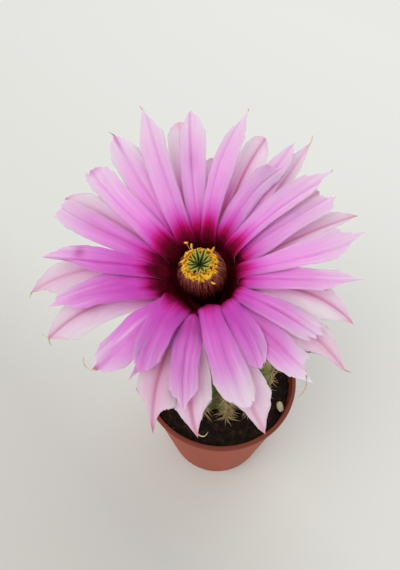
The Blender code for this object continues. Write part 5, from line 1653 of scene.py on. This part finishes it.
def lobeTree():
    # lobes in a ring round the axis
    tree, given, result = newTree("stigmaRing", [("Lobe", "Object"), ("Count", "Int"), ("Material", "Material")])
    spots = addNode(tree, "GeometryNodePoints", {"Count": given["Count"]})
    part = addNode(tree, "ShaderNodeMath", {0: addNode(tree, "GeometryNodeInputIndex"), 1: given["Count"]},
                   operation="DIVIDE")
    jitter = addNode(tree, "FunctionNodeRandomValue", {2: -0.08, 3: 0.08, "Seed": 6}, data_type="FLOAT")
    bearing = addNode(tree, "ShaderNodeMath", {0: part, 1: 2 * math.pi, 2: jitter.outputs[1]},
                      operation="MULTIPLY_ADD")
    around = addNode(tree, "FunctionNodeAxisAngleToRotation", {"Axis": (0, 0, 1), "Angle": bearing})
    size = addNode(tree, "FunctionNodeRandomValue", {2: 0.9, 3: 1.03, "Seed": 9}, data_type="FLOAT")
    lobe = addNode(tree, "GeometryNodeObjectInfo", {"Object": given["Lobe"], "As Instance": True})
    placed = addNode(tree, "GeometryNodeInstanceOnPoints", {
        "Points": spots, "Instance": lobe.outputs["Geometry"], "Rotation": around, "Scale": size.outputs[1]})
    return closeTree(tree, placed, given, result)


def makeStyle():
    # stigma: velvety green; painted shade darkens each lobe's channel and foot, and the head beneath
    made, tree, shader = newMaterial("stigmaVelvet", Roughness=0.75, Specular_IOR_Level=0.15,
                                     Subsurface_Weight=0.15, Subsurface_Scale=0.0005)
    place = addNode(tree, "ShaderNodeTexCoord").outputs["Object"]
    channel = addNode(tree, "ShaderNodeAttribute", attribute_name="channel").outputs["Fac"]
    nap = addNode(tree, "ShaderNodeTexNoise", {"Vector": place, "Scale": 2400.0, "Detail": 3.0})
    shift = addNode(tree, "ShaderNodeMath", {0: nap.outputs["Fac"], 1: 0.4, 2: -0.2}, operation="MULTIPLY_ADD")
    level = addNode(tree, "ShaderNodeMath", {0: channel, 1: shift}, operation="ADD")
    tones = addNode(tree, "ShaderNodeValToRGB", {"Fac": level}, stops=[
        (0.0, "#bcae56"), (0.28, "#9c9a40"), (0.52, "#44591c"), (0.78, "#1b2a0a"), (1.0, "#0c1406")])
    bump = addNode(tree, "ShaderNodeBump", {"Height": nap.outputs["Fac"], "Strength": 0.6, "Distance": 0.0001})
    feed(tree, shader, Base_Color=tones, Normal=bump)

    s = styleSizes
    sides = 40
    outline = [(0.3, -15.2), (s["radius"], -15.2), (s["radius"], -8), (s["radius"], 0), (s["radius"], 1.8),
               (1.35, 2.5), (1.5, 3.0), (1.25, 3.3), (0.8, 3.2), (0.3, 2.9)]
    points = [p for r, h in outline for p in circlePoints(r, h, sides)]
    headFrom = 6        # the ring of the outline where the dark head begins
    # painted shade: the head beneath the lobes is dark
    channel = [0.3 if k // sides < headFrom else 0.95 for k in range(len(points))]
    style = newPiece("styleStar", points, ringFaces(len(outline), sides), made, 50, {"channel": channel},
                     place=leaned)

    # one lobe along +X: it rises, then lifts more at its end, with a channel down its upper side
    steps, around, points, channel = 14, 12, [], []
    for k in range(steps):
        share = k / (steps - 1)
        centre = Vector((0.35 + s["lobeLength"] * share * s["lobeRun"], 0,
                         2.8 + s["lobeLength"] * (s["lobeRise"] * share + 0.1 * share ** 2.5)))
        slope = math.atan2(s["lobeRise"] + 0.25 * share ** 1.5, s["lobeRun"])
        size = s["lobeRadius"] * (0.75 + 0.35 * math.sin(math.pi * share)) * math.sqrt(max(1 - share ** 7, 0.02))
        for i in range(around):
            turn = 2 * math.pi * i / around
            wide, high = math.sin(turn), math.cos(turn)
            dip = 0.6 * max(high, 0) ** 4
            up = (high - dip) * size
            points.append((centre.x - up * math.sin(slope), wide * size * 1.05, centre.z + up * math.cos(slope)))
            # painted shade in the channel and towards the lobe's foot
            channel.append(max(high, 0) ** 6 * 0.85 + 0.6 * (1 - share) ** 3)
    lobe = newPiece("oneLobe", points, ringFaces(steps, around), made, 180, {"channel": channel})
    seedPoint = newPiece("lobeSeed", [(0, 0, 0)], [], None)
    star = grow(seedPoint, lobeTree(), {"Lobe": lobe, "Count": s["lobes"], "Material": made}, "stigmaStar", leaned)
    discard(lobe, seedPoint)
    style = joinPieces(style, star)
    settle(style, "style")


makeStamens()
makeStyle()
